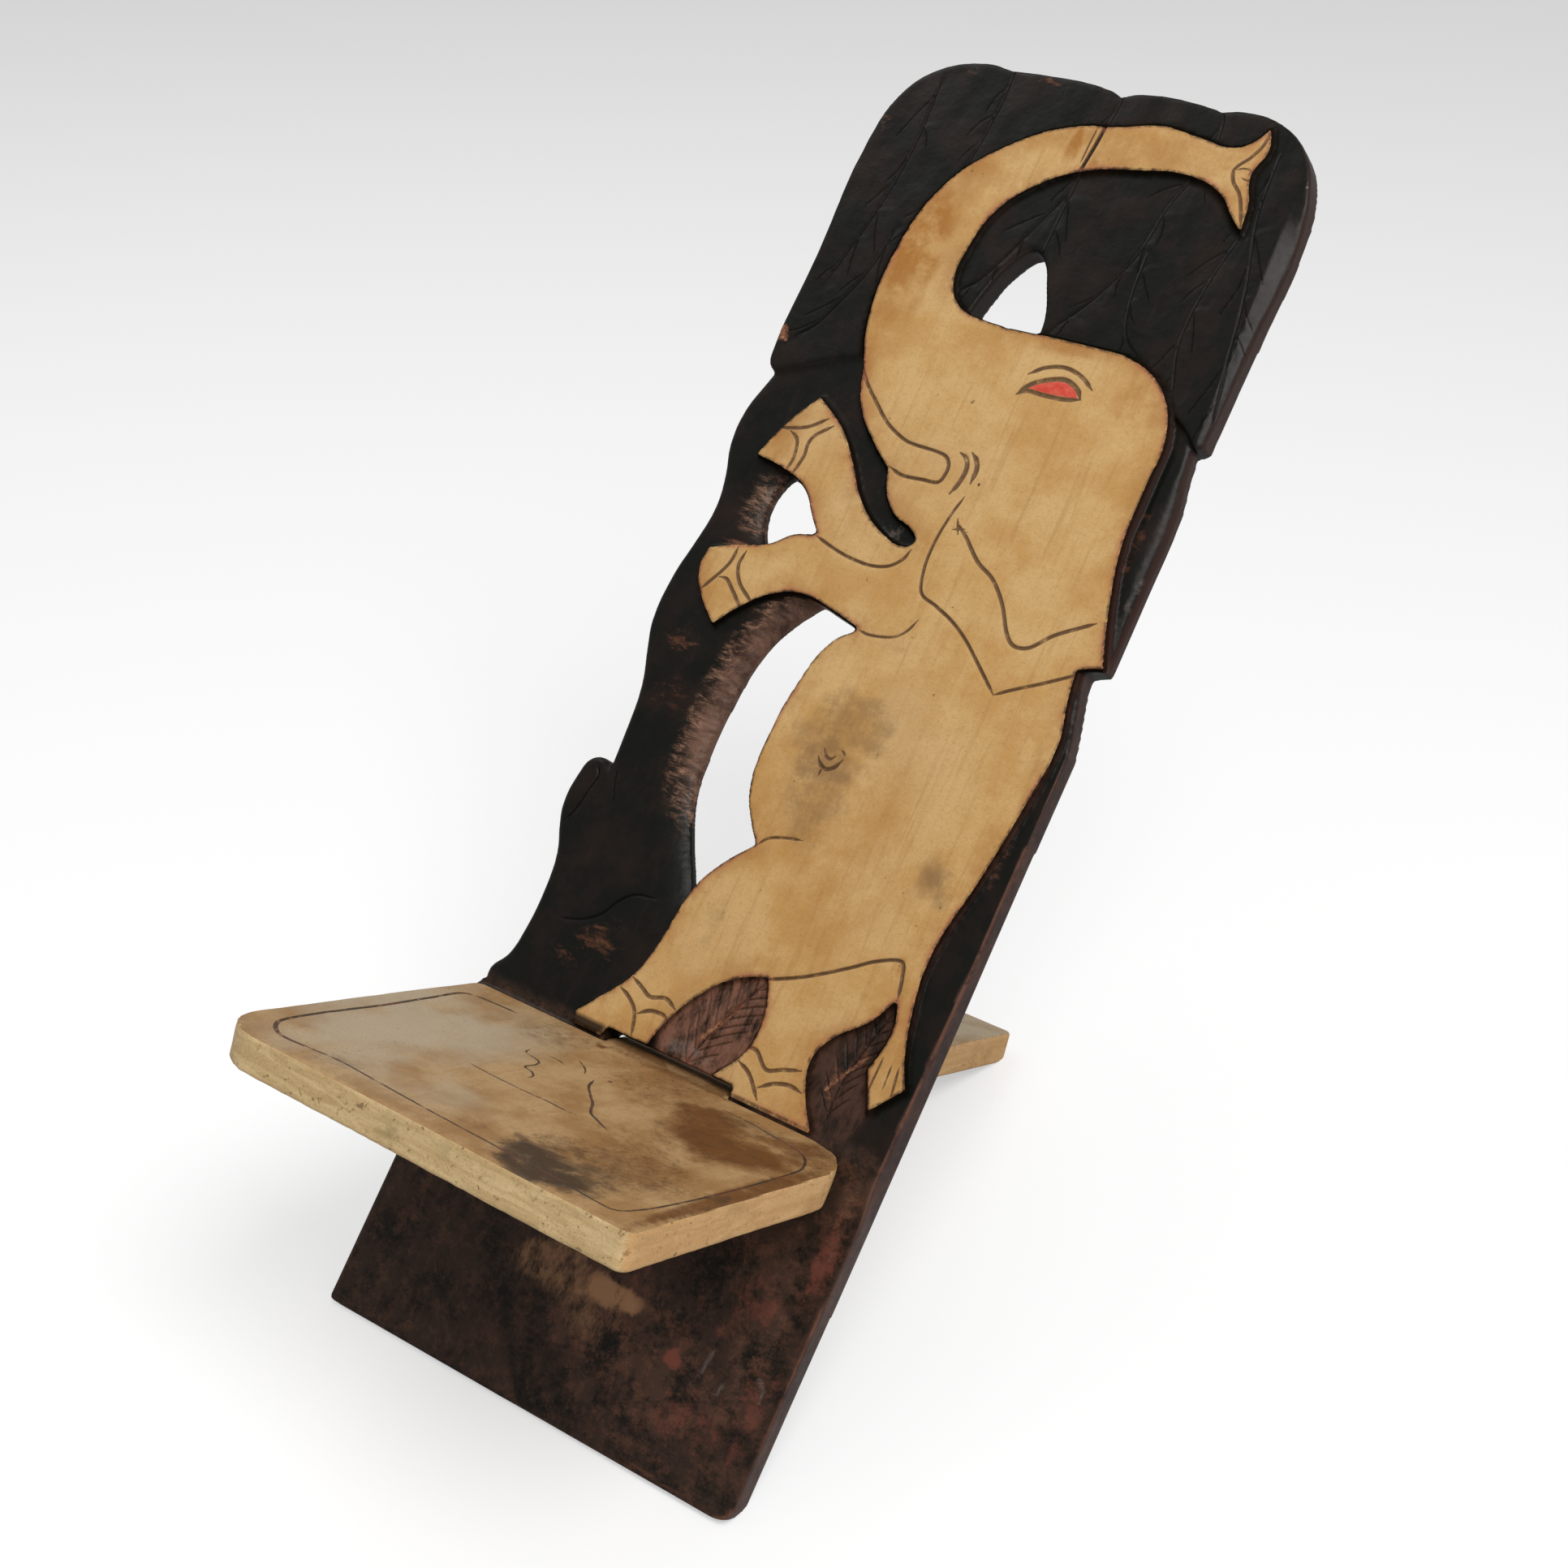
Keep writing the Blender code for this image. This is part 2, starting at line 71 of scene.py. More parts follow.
BOARD_FRAME = turned_frame(BOARD_ORIGIN, BOARD_INCLINE)
SEAT_FRAME = turned_frame(SEAT_ORIGIN, SEAT_TILT)


# Fields over a cloud of points, all in millimetres.

HASH_X, HASH_Y, HASH_Z = 73856093, 19349663, 83492791
HASH_FIRST, HASH_SECOND = 2654435761, 2246822519
HASH_SHIFT = 15
WORD = 0xFFFFFFFF
HALF_WORD = 2147483647.5
NOISE_START = 311.0
NOISE_SEED_STEP = 37.3
STROKE_SHIFT = 2.5
STROKE_END = 0.35
TAPER_SHARE = 0.45
LAP_SOFTNESS = 0.9
NO_LAP = 0.001
SPOT_CORE = 0.25
SPOT_REACH = 1.5
SPOT_STEP = 7.3
WIDE_WANDER = 0.3
WIDE_SIZE = 0.6
FINE_WANDER = 0.2
FINE_SIZE = 0.25
OUTLINE_REACH = 40.0
FAR_OUTSIDE = -9.0


def smooth_step(values, low, high):
    t = np.clip((values - low) / (high - low), 0.0, 1.0)
    return t * t * (3.0 - 2.0 * t)


def noise(points, size, seed=0):
    """Smooth noise from -1 to 1 with lumps of about one size, or one size per axis."""
    scaled = points / np.asarray(size, float) + NOISE_START + NOISE_SEED_STEP * seed
    cell = np.floor(scaled).astype(np.int64)
    part = smooth_step(scaled - cell, 0.0, 1.0)
    total = np.zeros(len(points))
    for corner in itertools.product((0, 1), repeat=3):
        at = cell + np.array(corner)
        mixed = at[:, 0] * HASH_X ^ at[:, 1] * HASH_Y ^ at[:, 2] * HASH_Z
        mixed = (mixed * HASH_FIRST) & WORD
        mixed = ((mixed ^ (mixed >> HASH_SHIFT)) * HASH_SECOND) & WORD
        weight = np.prod(np.where(corner, part, 1.0 - part), axis=1)
        total += weight * (mixed / HALF_WORD - 1.0)
    return total


def smooth_line(points, spacing=0.5):
    """A dense curve through given points."""
    points = [np.array(p, float) for p in points]
    ends = [2 * points[0] - points[1], *points, 2 * points[-1] - points[-2]]
    curve = []
    for before, start, end, after in zip(ends, ends[1:], ends[2:], ends[3:]):
        steps = max(2, int(np.linalg.norm(end - start) / spacing))
        for i in range(steps):
            t = i / steps
            curve.append(0.5 * (2 * start + (end - before) * t
                                + (2 * before - 5 * start + 4 * end - after) * t * t
                                + (3 * start - before - 3 * end + after) * t ** 3))
    curve.append(points[-1])
    return np.array(curve)


def on_face(flat):
    """Places on the face, with nothing for the height."""
    return np.c_[flat, np.zeros(len(flat))]


def search_tree(places):
    tree = KDTree(len(places))
    for i, place in enumerate(places):
        tree.insert(place, i)
    tree.balance()
    return tree


class Strokes:
    """A set of cut lines, each with its width and depth in millimetres and ends that taper off."""

    def __init__(self, spread, lap_depth):
        self.spread = spread
        self.lap_depth = lap_depth
        self.rows = []

    def add(self, points, width, depth, lap=0.0, taper=6.0):
        """lap slopes the ground off to the left of the line's direction, or to the right if below zero."""
        curve = smooth_line(points) + np.array((STROKE_SHIFT, 0.0))
        step = np.gradient(curve, axis=0)
        length = np.r_[0.0, np.cumsum(np.linalg.norm(np.diff(curve, axis=0), axis=1))]
        from_end = np.minimum(length, length[-1] - length)
        full = smooth_step(from_end, 0.0, min(taper, TAPER_SHARE * length[-1]))
        thin = STROKE_END + (1.0 - STROKE_END) * full
        tangent = step / np.linalg.norm(step, axis=1)[:, None]
        laps = np.full(len(curve), lap)
        half_widths = 0.5 * self.spread * width * thin
        self.rows.append(np.c_[curve, -tangent[:, 1], tangent[:, 0], half_widths, depth * thin, laps])

    def finish(self):
        table = np.concatenate(self.rows)
        self.points = table[:, :2]
        self.normals = table[:, 2:4]
        self.half_widths, self.depths, self.laps = table[:, 4:].T
        self.tree = search_tree(on_face(self.points))

    def nearest(self, flat):
        found = [self.tree.find(place) for place in on_face(flat)]
        index = np.array([f[1] for f in found], int)
        distance = np.array([f[2] for f in found])
        return index, distance

    def near(self, flat, margin):
        """Which points lie in a line or within a margin of it."""
        index, distance = self.nearest(flat)
        return distance < self.half_widths[index] + margin

    def cut(self, flat):
        """Depth of the cut at each point, and how far each point is inside a line, from 0 to 1."""
        index, distance = self.nearest(flat)
        inside = np.clip(1.0 - distance / self.half_widths[index], 0.0, 1.0)
        depth = self.depths[index] * smooth_step(inside, 0.0, 1.0)
        lap = self.laps[index]
        side = ((flat - self.points[index]) * self.normals[index]).sum(axis=1) * np.sign(lap)
        reach = np.maximum(np.abs(lap), NO_LAP)
        slope = np.clip(1.0 - distance / reach, 0.0, 1.0) ** 2
        slope *= smooth_step(side, -LAP_SOFTNESS, LAP_SOFTNESS)
        depth += np.where(lap != 0.0, self.lap_depth * slope, 0.0)
        return depth, inside


def blob(flat, centre, radii):
    """A soft spot: 1 at its centre and 0 beyond its radii."""
    offset = (flat - np.array(centre)) / np.array(radii)
    return 1.0 - smooth_step(np.linalg.norm(offset, axis=1), SPOT_CORE, 1.0)


def blobs(flat, spots):
    """The strongest of several soft spots, each with an edge that wanders in and out."""
    total = np.zeros(len(flat))
    for i, (centre, radii, strength) in enumerate(spots):
        offset = (flat - np.array(centre)) / np.array(radii)
        distance = np.linalg.norm(offset, axis=1)
        near = np.flatnonzero(distance < SPOT_REACH)
        place = np.column_stack([offset[near], np.full(len(near), SPOT_STEP * i)])
        wander = WIDE_WANDER * noise(place, WIDE_SIZE) + FINE_WANDER * noise(place, FINE_SIZE)
        spot = 1.0 - smooth_step(distance[near] + wander, SPOT_CORE, 1.0)
        total[near] = np.maximum(total[near], strength * spot)
    return total


def inside_distance(flat, outline):
    """Distance in millimetres from a closed outline, above zero inside it."""
    tree = search_tree(on_face(outline))
    near = (np.abs(flat - outline.mean(axis=0)) < OUTLINE_REACH).all(axis=1)
    distance = np.full(len(flat), FAR_OUTSIDE)
    inside = np.zeros(len(flat), bool)
    for (x0, y0), (x1, y1) in zip(outline, np.roll(outline, -1, axis=0)):
        crosses = (y0 > flat[:, 1]) != (y1 > flat[:, 1])
        rise = y1 - y0 if y1 != y0 else 1.0
        inside ^= crosses & (flat[:, 0] < (x1 - x0) * (flat[:, 1] - y0) / rise + x0)
    for i in np.flatnonzero(near):
        gap = tree.find((flat[i, 0], flat[i, 1], 0.0))[2]
        distance[i] = gap if inside[i] else -gap
    return distance


def near_curve(flat, points, reach):
    """1 on a curve through given points, falling to 0 at its reach."""
    curve = smooth_line(points) + np.array((STROKE_SHIFT, 0.0))
    return 1.0 - nearest_distance(on_face(flat), on_face(curve), reach) / reach


def nearest_distance(points, targets, limit):
    """Distance from each point to the nearest target, up to a limit."""
    tree = search_tree(targets)
    return np.array([min(tree.find(p)[2], limit) for p in points])


# Meshes.


def link(obj):
    bpy.context.scene.collection.objects.link(obj)
    return obj


def dense_copy(node, name, own_frame, voxel):
    """A fine even mesh of a CAD node, held in the node's own frame."""
    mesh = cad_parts[node].data.copy()
    mesh.transform(own_frame.inverted())
    weld = bmesh.new()
    weld.from_mesh(mesh)
    bmesh.ops.remove_doubles(weld, verts=weld.verts, dist=WELD_DISTANCE)
    weld.to_mesh(mesh)
    weld.free()
    rough = link(bpy.data.objects.new(name + "_rough", mesh))
    remesh = rough.modifiers.new("Even", "REMESH")
    remesh.mode = "VOXEL"
    remesh.voxel_size = voxel
    bpy.context.view_layer.update()
    ready = rough.evaluated_get(bpy.context.evaluated_depsgraph_get())
    fine = bpy.data.meshes.new_from_object(ready)
    fine.name = name
    fine.materials.clear()
    bpy.data.objects.remove(rough)
    obj = link(bpy.data.objects.new(name, fine))
    obj.matrix_world = own_frame
    return obj


def mesh_points(mesh):
    """Vertex places in millimetres, and vertex normals."""
    co = np.empty(len(mesh.vertices) * 3, np.float32)
    mesh.vertices.foreach_get("co", co)
    normal = np.empty(len(mesh.vertices) * 3, np.float32)
    mesh.vertex_normals.foreach_get("vector", normal)
    return co.reshape(-1, 3).astype(float) / MM, normal.reshape(-1, 3).astype(float)


def mesh_edges(mesh):
    edges = np.empty(len(mesh.edges) * 2, np.int32)
    mesh.edges.foreach_get("vertices", edges)
    return edges.reshape(-1, 2)


def set_points(mesh, points):
    mesh.vertices.foreach_set("co", (points * MM).astype(np.float32).ravel())
    mesh.update()


def set_fields(mesh, fields):
    for name, values in fields.items():
        field = mesh.attributes.new(name, "FLOAT", "POINT")
        field.data.foreach_set("value", values.astype(np.float32))


def divide_near(mesh, chosen, cuts):
    """Splits the faces whose corners are all chosen into finer ones."""
    work = bmesh.new()
    work.from_mesh(mesh)
    work.verts.ensure_lookup_table()
    edges = [e for e in work.edges if chosen[e.verts[0].index] and chosen[e.verts[1].index]]
    bmesh.ops.subdivide_edges(work, edges=edges, cuts=cuts, use_grid_fill=True)
    work.to_mesh(mesh)
    work.free()
    mesh.update()


def flatten_plain(mesh, chosen):
    """Replaces the small faces of a plain flat side by a few large ones."""
    work = bmesh.new()
    work.from_mesh(mesh)
    for face in work.faces:
        face.smooth = True
    small = [f for f in work.faces if all(chosen[v.index] for v in f.verts)]
    bmesh.ops.delete(work, geom=small, context="FACES")
    border = [e for e in work.edges if e.is_boundary]
    filled = bmesh.ops.triangle_fill(work, edges=border, use_beauty=True, normal=(0.0, 0.0, -1.0))
    for piece in filled["geom"]:
        if isinstance(piece, bmesh.types.BMFace):
            piece.smooth = False
    work.to_mesh(mesh)
    work.free()
    mesh.update()


def convex_edges(points, normals, edges, rounds):
    """How far each point stands out as an edge, spread over its neighbours."""
    count = np.zeros(len(points))
    mean = np.zeros((len(points), 3))
    for a, b in ((0, 1), (1, 0)):
        np.add.at(count, edges[:, a], 1.0)
        np.add.at(mean, edges[:, a], points[edges[:, b]])
    count = np.maximum(count, 1.0)
    stand = -((mean / count[:, None] - points) * normals).sum(axis=1)
    for _ in range(rounds):
        total = np.zeros(len(points))
        for a, b in ((0, 1), (1, 0)):
            np.add.at(total, edges[:, a], stand[edges[:, b]])
        stand = 0.5 * stand + 0.5 * total / count
    return stand


# What both boards use, lengths in millimetres. A pair of values is where a thing starts and is full.

FACING = (0.3, 0.8)
FACING_LIMIT = 0.6
LINE_MARGIN = 1.6
LINE_CUTS = 2
EDGE_ROUNDS = 2

# The back board, in millimetres.

BOARD_THICKNESS = 21.0
BACK_LEVEL = -20.8
BACK_NORMAL = -0.99
TREE_DEPTH = 5.5
TREE_HEIGHT = BOARD_THICKNESS - TREE_DEPTH
TREE_LEVEL = (-4.0, -5.2)
FIGURE_EDGE = -0.3
FIGURE_FADE = (FIGURE_EDGE - 0.15, FIGURE_EDGE + 0.05)
GROUND_MARGIN = 0.8
RIM_REACH = 30.0
PANEL_TOP = (232.0, 222.0)
SPINE = ((136.0, 140.0), (540.0, 530.0))
WALL_LEVEL = -7.0
WALL_NORMAL = 0.5
WALL_STEP = 3
LOG_CROWN = 7.5
LOG_REACH = 30.0
LOG_RIGHT = -30.0
EAR_STRIP_CROWN = 2.2
EAR_STRIP_FALL = 6.0
STRIP = ((120.0, 126.0), (540.0, 548.0))
STRIP_RIDGE = (11.0, 1.0)
SHOULDER_LEFT = 150.0
SHOULDER_WIDTH = 16.0
SHOULDER_TOP = (688.0, 668.0)
BEVEL_SLOPE = 0.55
BEVEL_LIMIT = 7.0
BEVEL_LEFT = 154.0
BEVEL_LEFT_HEIGHT = 847.0
BEVEL_LEAN = 0.03
BEVEL_BAND = ((885.0, 830.0), (690.0, 694.0))
LEDGE = ((-59.5, -61.0), (219.0, 220.5))
LEDGE_HIGH = (240.0, 232.0)
FOOT_FLARE = 3.0
FLARE = ((150.0, 158.0), (216.0, 180.0))
HAND_WAVE = 0.25
HAND_WAVE_SIZE = (60.0, 90.0, 60.0)
PLAIN_WAVE = 0.4
TOOL_WAVE = 0.5
TOOL_WAVE_SIZE = (14.0, 26.0, 14.0)
CHIP_DEPTH = 0.4
CHIP_SIZE = 9.0
CHIP_EDGE = (0.12, 0.3)
CHIP_PLACES = (0.1, 0.6)
VEIN_INSET = 10
VEIN_STEP = 22
VEIN_SPAN = 5
VEIN_TURN = (14.0, 34.0)
VEIN_REACH = (16.0, 38.0)
VEIN_GAP = 3.0
VEIN_BEND = (-2.0, 2.0)
RIB_INSET = 5
RIB_END = 8
RIB_STEP = 9
RIB_SPAN = 4
RIB_LEAN = 1.3
RIB_FIRST = 0.25
RIB_SHARE = 0.7
RIB_LAST = 0.95
LEFT_MIDRIB = [(4, 224), (12, 248), (23, 272), (36, 296)]
RIGHT_MIDRIB = [(112, 232), (111, 255), (117, 285), (124, 308)]


# The lines cut into the elephant: points, width, depth, and for some a lap and a taper.

FIGURE_LINES = [
    ([(30, 714), (40, 721), (53, 724), (66, 721), (77, 714)], 2.8, 0.9),
    ([(28, 699), (33, 706), (40, 711), (50, 715), (58, 716), (67, 712), (72, 706)], 3.6, 0.9),
    ([(28, 699), (34, 703), (46, 703), (60, 703.5), (72, 706)], 3.2, 0.8),
    ([(-98, 703), (-91, 694), (-80, 681), (-66, 669), (-52, 658), (-37, 651), (-27, 649), (-10, 648.5),
      (-1, 647), (3.5, 642), (4, 635), (1, 629), (-10, 628), (-25, 627), (-36, 630)], 2.4, 1.0, 5.0),
    ([(8, 652), (14, 649), (17, 642), (16, 632), (13, 624)], 3.4, 1.0),
    ([(16, 654), (21, 650), (24, 644), (24, 634)], 3.4, 1.0),
    ([(29.6, 636), (30.4, 634)], 2.0, 0.8),
    ([(24, 625), (20, 610), (17.5, 590), (18.5, 572), (24, 557), (37, 552), (52, 546), (67, 537),
      (82, 525), (100, 510)], 2.3, 1.0, -4.0),
    ([(100, 510), (111, 517), (127, 526), (145, 537), (160, 545)], 2.2, 0.9, -5.0),
    ([(27, 607), (37, 600), (52, 587), (67, 579), (80, 566), (90, 551), (97, 544), (104, 543), (111, 546),
      (122, 557), (137, 567), (145, 572)], 2.6, 1.0),
    ([(26, 610), (31, 600)], 2.0, 0.7),
    ([(25, 602), (35, 605)], 1.6, 0.6),
    ([(-66, 572), (-52, 568), (-37, 565), (-20, 564), (-7, 567), (1, 574), (4, 582)], 2.2, 0.9, -4.0),
    ([(-8, 522), (2, 521), (17, 524), (25, 530), (30, 540)], 2.0, 0.8, 5.0),
    ([(-11, 370), (-5, 377), (5, 381), (19, 384)], 2.0, 0.8, 6.0),
    ([(36, 296), (60, 307), (85, 322), (100, 332), (116, 338), (121, 329), (124, 316)], 2.4, 1.0, 5.0),
    ([(-128, 635), (-119, 637), (-107, 641), (-95, 650)], 2.6, 0.8),
    ([(-119, 635), (-112, 631), (-109, 624), (-108, 615), (-110, 607)], 2.6, 0.8),
    ([(-89, 646), (-99, 637), (-102, 630), (-101, 620), (-104, 606)], 2.6, 0.8),
    ([(-118, 549), (-120, 535), (-132, 514)], 2.6, 0.8),
    ([(-122, 526), (-116, 526), (-108, 520), (-96, 510)], 2.6, 0.8),
    ([(-111, 548), (-112, 537), (-105, 526), (-90, 516)], 2.6, 0.8),
    ([(-54, 264), (-44, 260), (-36, 257), (-25, 260), (-15, 256)], 2.6, 0.8),
    ([(-59, 255), (-50, 251), (-42, 244), (-37, 230)], 2.6, 0.8),
    ([(-40, 244), (-32, 249), (-22, 250), (-16, 247)], 2.6, 0.8),
    ([(42, 253), (50, 254), (61, 246), (72, 250), (84, 254)], 2.6, 0.8),
    ([(41, 244), (52, 239), (64, 227)], 2.6, 0.8),
    ([(61, 234), (70, 240), (80, 243), (90, 242)], 2.6, 0.8),
    ([(131, 282), (130, 254)], 1.7, 0.8),
    ([(138, 281), (139, 262)], 1.2, 0.5),
    ([(143, 280), (146, 261)], 1.7, 0.8),
    ([(147, 281), (152, 266)], 1.5, 0.7),
    ([(119, 909), (118, 897), (113, 887), (107.5, 880.5), (106, 875.5), (109, 869), (116, 862),
      (121, 853), (126, 841)], 2.4, 0.9),
    ([(107, 877), (111, 879), (116, 879), (121, 876)], 1.5, 0.5),
    ([(121, 876), (118, 872), (112, 873)], 1.5, 0.5),
    ([(4, 437), (8, 432.5), (13, 431), (18, 434), (21.5, 440)], 2.8, 1.2),
    ([(6, 443), (9, 439), (13, 438), (16, 441)], 2.4, 1.0),
    ([(10, 431), (9.5, 425)], 1.8, 0.8),
    ([(18, 446), (22, 443)], 1.8, 0.7),
    ([(7, 893), (5.5, 875), (2.5, 854)], 3.0, 2.4, 0.0, 1.0),
    ([(2, 889), (1.2, 874), (0.8, 860)], 1.3, 0.6),
]
CANOPY_FOLDS = [
    [(-77, 918), (-76, 890), (-80, 850), (-90, 805), (-97, 770)],
    [(9, 914), (5, 870), (2, 835), (1, 795)],
    [(81, 917), (85, 902), (84, 880), (72, 845), (66, 810), (50, 775), (30, 748)],
    [(-128, 900), (-126, 850), (-132, 800), (-145, 745)],
    [(-112, 790), (-118, 755), (-136, 715), (-150, 700)],
    [(72, 812), (74, 780), (82, 755), (104, 738)],
    [(130, 895), (133, 850), (146, 800), (155, 745), (160, 715)],
    [(128, 838), (120, 800), (118, 760), (128, 725)],
    [(-2, 835), (-18, 800), (-34, 770), (-44, 760)],
]


def table_strokes(rows, spread, lap_depth):
    lines = Strokes(spread, lap_depth)
    for row in rows:
        lines.add(*row)
    lines.finish()
    return lines


def ground_strokes():
    """The leaf folds, leaf veins and bark lines of the dark ground."""
    chance = random.Random(7)
    lines = Strokes(spread=1.0, lap_depth=0.55)
    for fold in CANOPY_FOLDS:
        lines.add(fold, 2.8, 0.4, lap=22.0)
        curve = smooth_line(fold, 1.0)
        for i in range(VEIN_INSET, len(curve) - VEIN_INSET, VEIN_STEP):
            add_vein(lines, curve, i, chance)
    leaf_veins(lines, LEFT_MIDRIB, 19)
    leaf_veins(lines, RIGHT_MIDRIB, 13)
    lines.add([(-158, 338), (-153, 350), (-150, 364), (-148, 374), (-152, 383)], 2.4, 1.4, lap=8.0)
    lines.add([(-136, 384), (-133, 372), (-128, 362)], 2.4, 0.5, lap=6.0)
    lines.add([(-128, 279), (-112, 284), (-100, 292), (-92, 304), (-82, 312), (-66, 315)], 3.0, 0.8,
              lap=10.0)
    lines.finish()
    return lines


def add_vein(lines, curve, i, chance):
    """One fine vein that leaves a fold downwards, to either side."""
    along = curve[i + VEIN_SPAN] - curve[i - VEIN_SPAN]
    along = along / np.linalg.norm(along)
    turn = math.radians(chance.uniform(*VEIN_TURN)) * chance.choice((-1.0, 1.0))
    away = np.array((along[0] * math.cos(turn) - along[1] * math.sin(turn),
                     along[0] * math.sin(turn) + along[1] * math.cos(turn)))
    reach = chance.uniform(*VEIN_REACH)
    start = curve[i] + away * VEIN_GAP
    end = start + away * reach
    middle = 0.5 * (start + end) + np.array((-away[1], away[0])) * chance.uniform(*VEIN_BEND)
    lines.add([tuple(start), tuple(middle), tuple(end)], 1.6, 0.22)


def leaf_veins(lines, midrib, half_width):
    """A midrib and its pairs of ribs, longest in the middle of the leaf."""
    lines.add(midrib, 2.4, 1.0)
    curve = smooth_line(midrib, 1.0)
    for i in range(RIB_INSET, len(curve) - RIB_END, RIB_STEP):
        along = curve[i + RIB_SPAN] - curve[i - RIB_SPAN]
        along = along / np.linalg.norm(along)
        across = np.array((-along[1], along[0]))
        place = min(RIB_LAST, RIB_FIRST + RIB_SHARE * i / len(curve))
        size = half_width * math.sin(math.pi * place)
        for side in (-1.0, 1.0):
            end = curve[i] + side * size * across + RIB_LEAN * size * along
            bend = 0.5 * (curve[i] + end) - side * along
            lines.add([tuple(curve[i]), tuple(bend), tuple(end)], 2.0, 0.8)


def eye_outline():
    top = smooth_line([(32, 704.5), (40, 710), (50, 714), (58, 715), (66, 711.5), (71, 706)])
    bottom = smooth_line([(71, 706), (58, 704.5), (46, 704), (32, 704.5)])
    return np.concatenate([top, bottom[1:-1]]) + np.array((STROKE_SHIFT, 0.0))


# Soft spots of colour on the face: centre, radii and strength.

GREY_STAINS = [
    ((16, 438), (30, 30), 0.9), ((18, 464), (52, 48), 0.75), ((22, 410), (40, 50), 0.7),
    ((0, 448), (36, 34), 0.6), ((115, 390), (26, 24), 0.8), ((117, 391), (15, 14), 1.0),
    ((127, 391), (12, 10), 0.6), ((-15, 322), (14, 34), 0.5), ((12, 385), (16, 10), 0.45),
    ((35, 455), (26, 30), 0.35), ((24, 520), (20, 14), 0.45),
]
ORANGE_STAINS = [
    ((40, 880), (70, 22), 0.45), ((-86, 785), (34, 90), 0.95), ((-60, 838), (40, 36), 0.5),
    ((-6, 874), (8, 20), 1.0), ((12, 862), (7, 9), 0.9), ((-84, 725), (28, 40), 0.55),
    ((90, 885), (40, 14), 0.4), ((45, 740), (70, 10), 0.6), ((118, 715), (24, 22), 0.6),
    ((-85, 690), (16, 20), 0.5), ((-120, 630), (22, 34), 0.5), ((120, 330), (10, 14), 0.7),
    ((55, 400), (90, 90), 0.3), ((-45, 630), (8, 8), 0.5),
]
WORN_SPOTS = [
    ((-90, 278), (26, 16), 0.52), ((-84, 291), (16, 11), 0.36), ((-128, 478), (26, 12), 0.52),
    ((-120, 444), (24, 20), 0.4), ((-158, 700), (10, 10), 0.9), ((-112, 600), (9, 24), 0.5),
    ((108, 256), (9, 16), 0.7), ((120, 280), (6, 20), 0.5), ((-105, 260), (24, 16), 0.42),
    ((150, 440), (8, 60), 0.5), ((147, 625), (9, 60), 0.4), ((-46, 914), (14, 6), 0.6),
    ((-104, 912), (12, 6), 0.4), ((-154, 866), (7, 24), 0.4), ((-118, 552), (22, 6), 0.8),
    ((160, 3), (9, 6), 0.7), ((100, 2), (60, 4), 0.5),
]
# Pale dust and chips, and painted highlights: a soft one down the ear strip, a thin one along the spine's
# front edge, and a few small ones.
DUST_AND_HIGHLIGHT_SPOTS = [
    ((8, 237), (30, 9), 0.5), ((159, 596), (7, 46), 0.42), ((-10, 592), (20, 14), 0.42),
    ((158.4, 876.5), (1.3, 2.2), 1.0), ((170, 852), (2.2, 2.0), 1.0), ((-118, 590), (3.5, 16), 0.6),
    ((164, 445), (1.6, 60), 0.7),
]
PANEL_SPOTS = [
    ((32, 66), (50, 40), 1.0), ((20, 92), (80, 44), 0.9), ((90, 60), (80, 60), 0.8),
    ((-120, 40), (50, 40), 0.35), ((110, 150), (60, 60), 0.7), ((152, 190), (14, 50), 0.8),
    ((-40, 60), (60, 30), 0.5), ((70, 25), (80, 24), 0.6), ((140, 90), (30, 70), 0.75),
]
RED_SPOTS = [
    ((86, 69.5), (9, 9), 1.0), ((120, 120), (26, 50), 0.55), ((152, 160), (12, 50), 0.7),
    ((110, 40), (50, 30), 0.5), ((30, 100), (40, 40), 0.4), ((146, 60), (16, 50), 0.6),
]
TAN_SPOTS = [
    ((-4, 86), (56, 26), 0.65), ((26, 85), (40, 18), 1.1), ((22, 68), (36, 30), 0.55),
    ((-62, 226), (6, 4), 0.9), ((70, 228), (30, 5), 0.3),
]
LEAF_SPOTS = [((16, 256), (42, 60), 1.0), ((112, 262), (34, 60), 0.3)]
LEAF_EDGE = (0.02, 0.2)
LEAF_LOW = (224.0, 229.0)
PANEL_RUB = 0.4
PANEL_SCRATCHES = [[(106, 83), (104, 67)], [(141, 82), (146, 77), (147, 70)], [(121, 70), (119, 62)]]
SCRATCH_REACH = 1.3
WORN_MIDRIBS = [
    ([(7, 245), (16, 258), (26, 276)], 4.5, 0.95), ([(103, 250), (110, 262), (119, 277)], 4.0, 0.85),
]
SMEAR = 1.05
SMEAR_REGION = ((-53.0, -57.0), (230.5, 227.5))
DEEP_DEPTH = (0.95, 1.5)
LOWER_BARK_BAND = ((330.0, 420.0), (548.0, 530.0))
BARK_FULL = 4.0
UPPER_BARK = 0.45
UPPER_BARK_BAND = ((552.0, 566.0), (612.0, 600.0))
RAIL_EDGE = (0.09, 0.24)
RAIL = ((148.0, 154.0), (510.0, 470.0))
RAIL_LEVEL = (-10.0, -7.0)


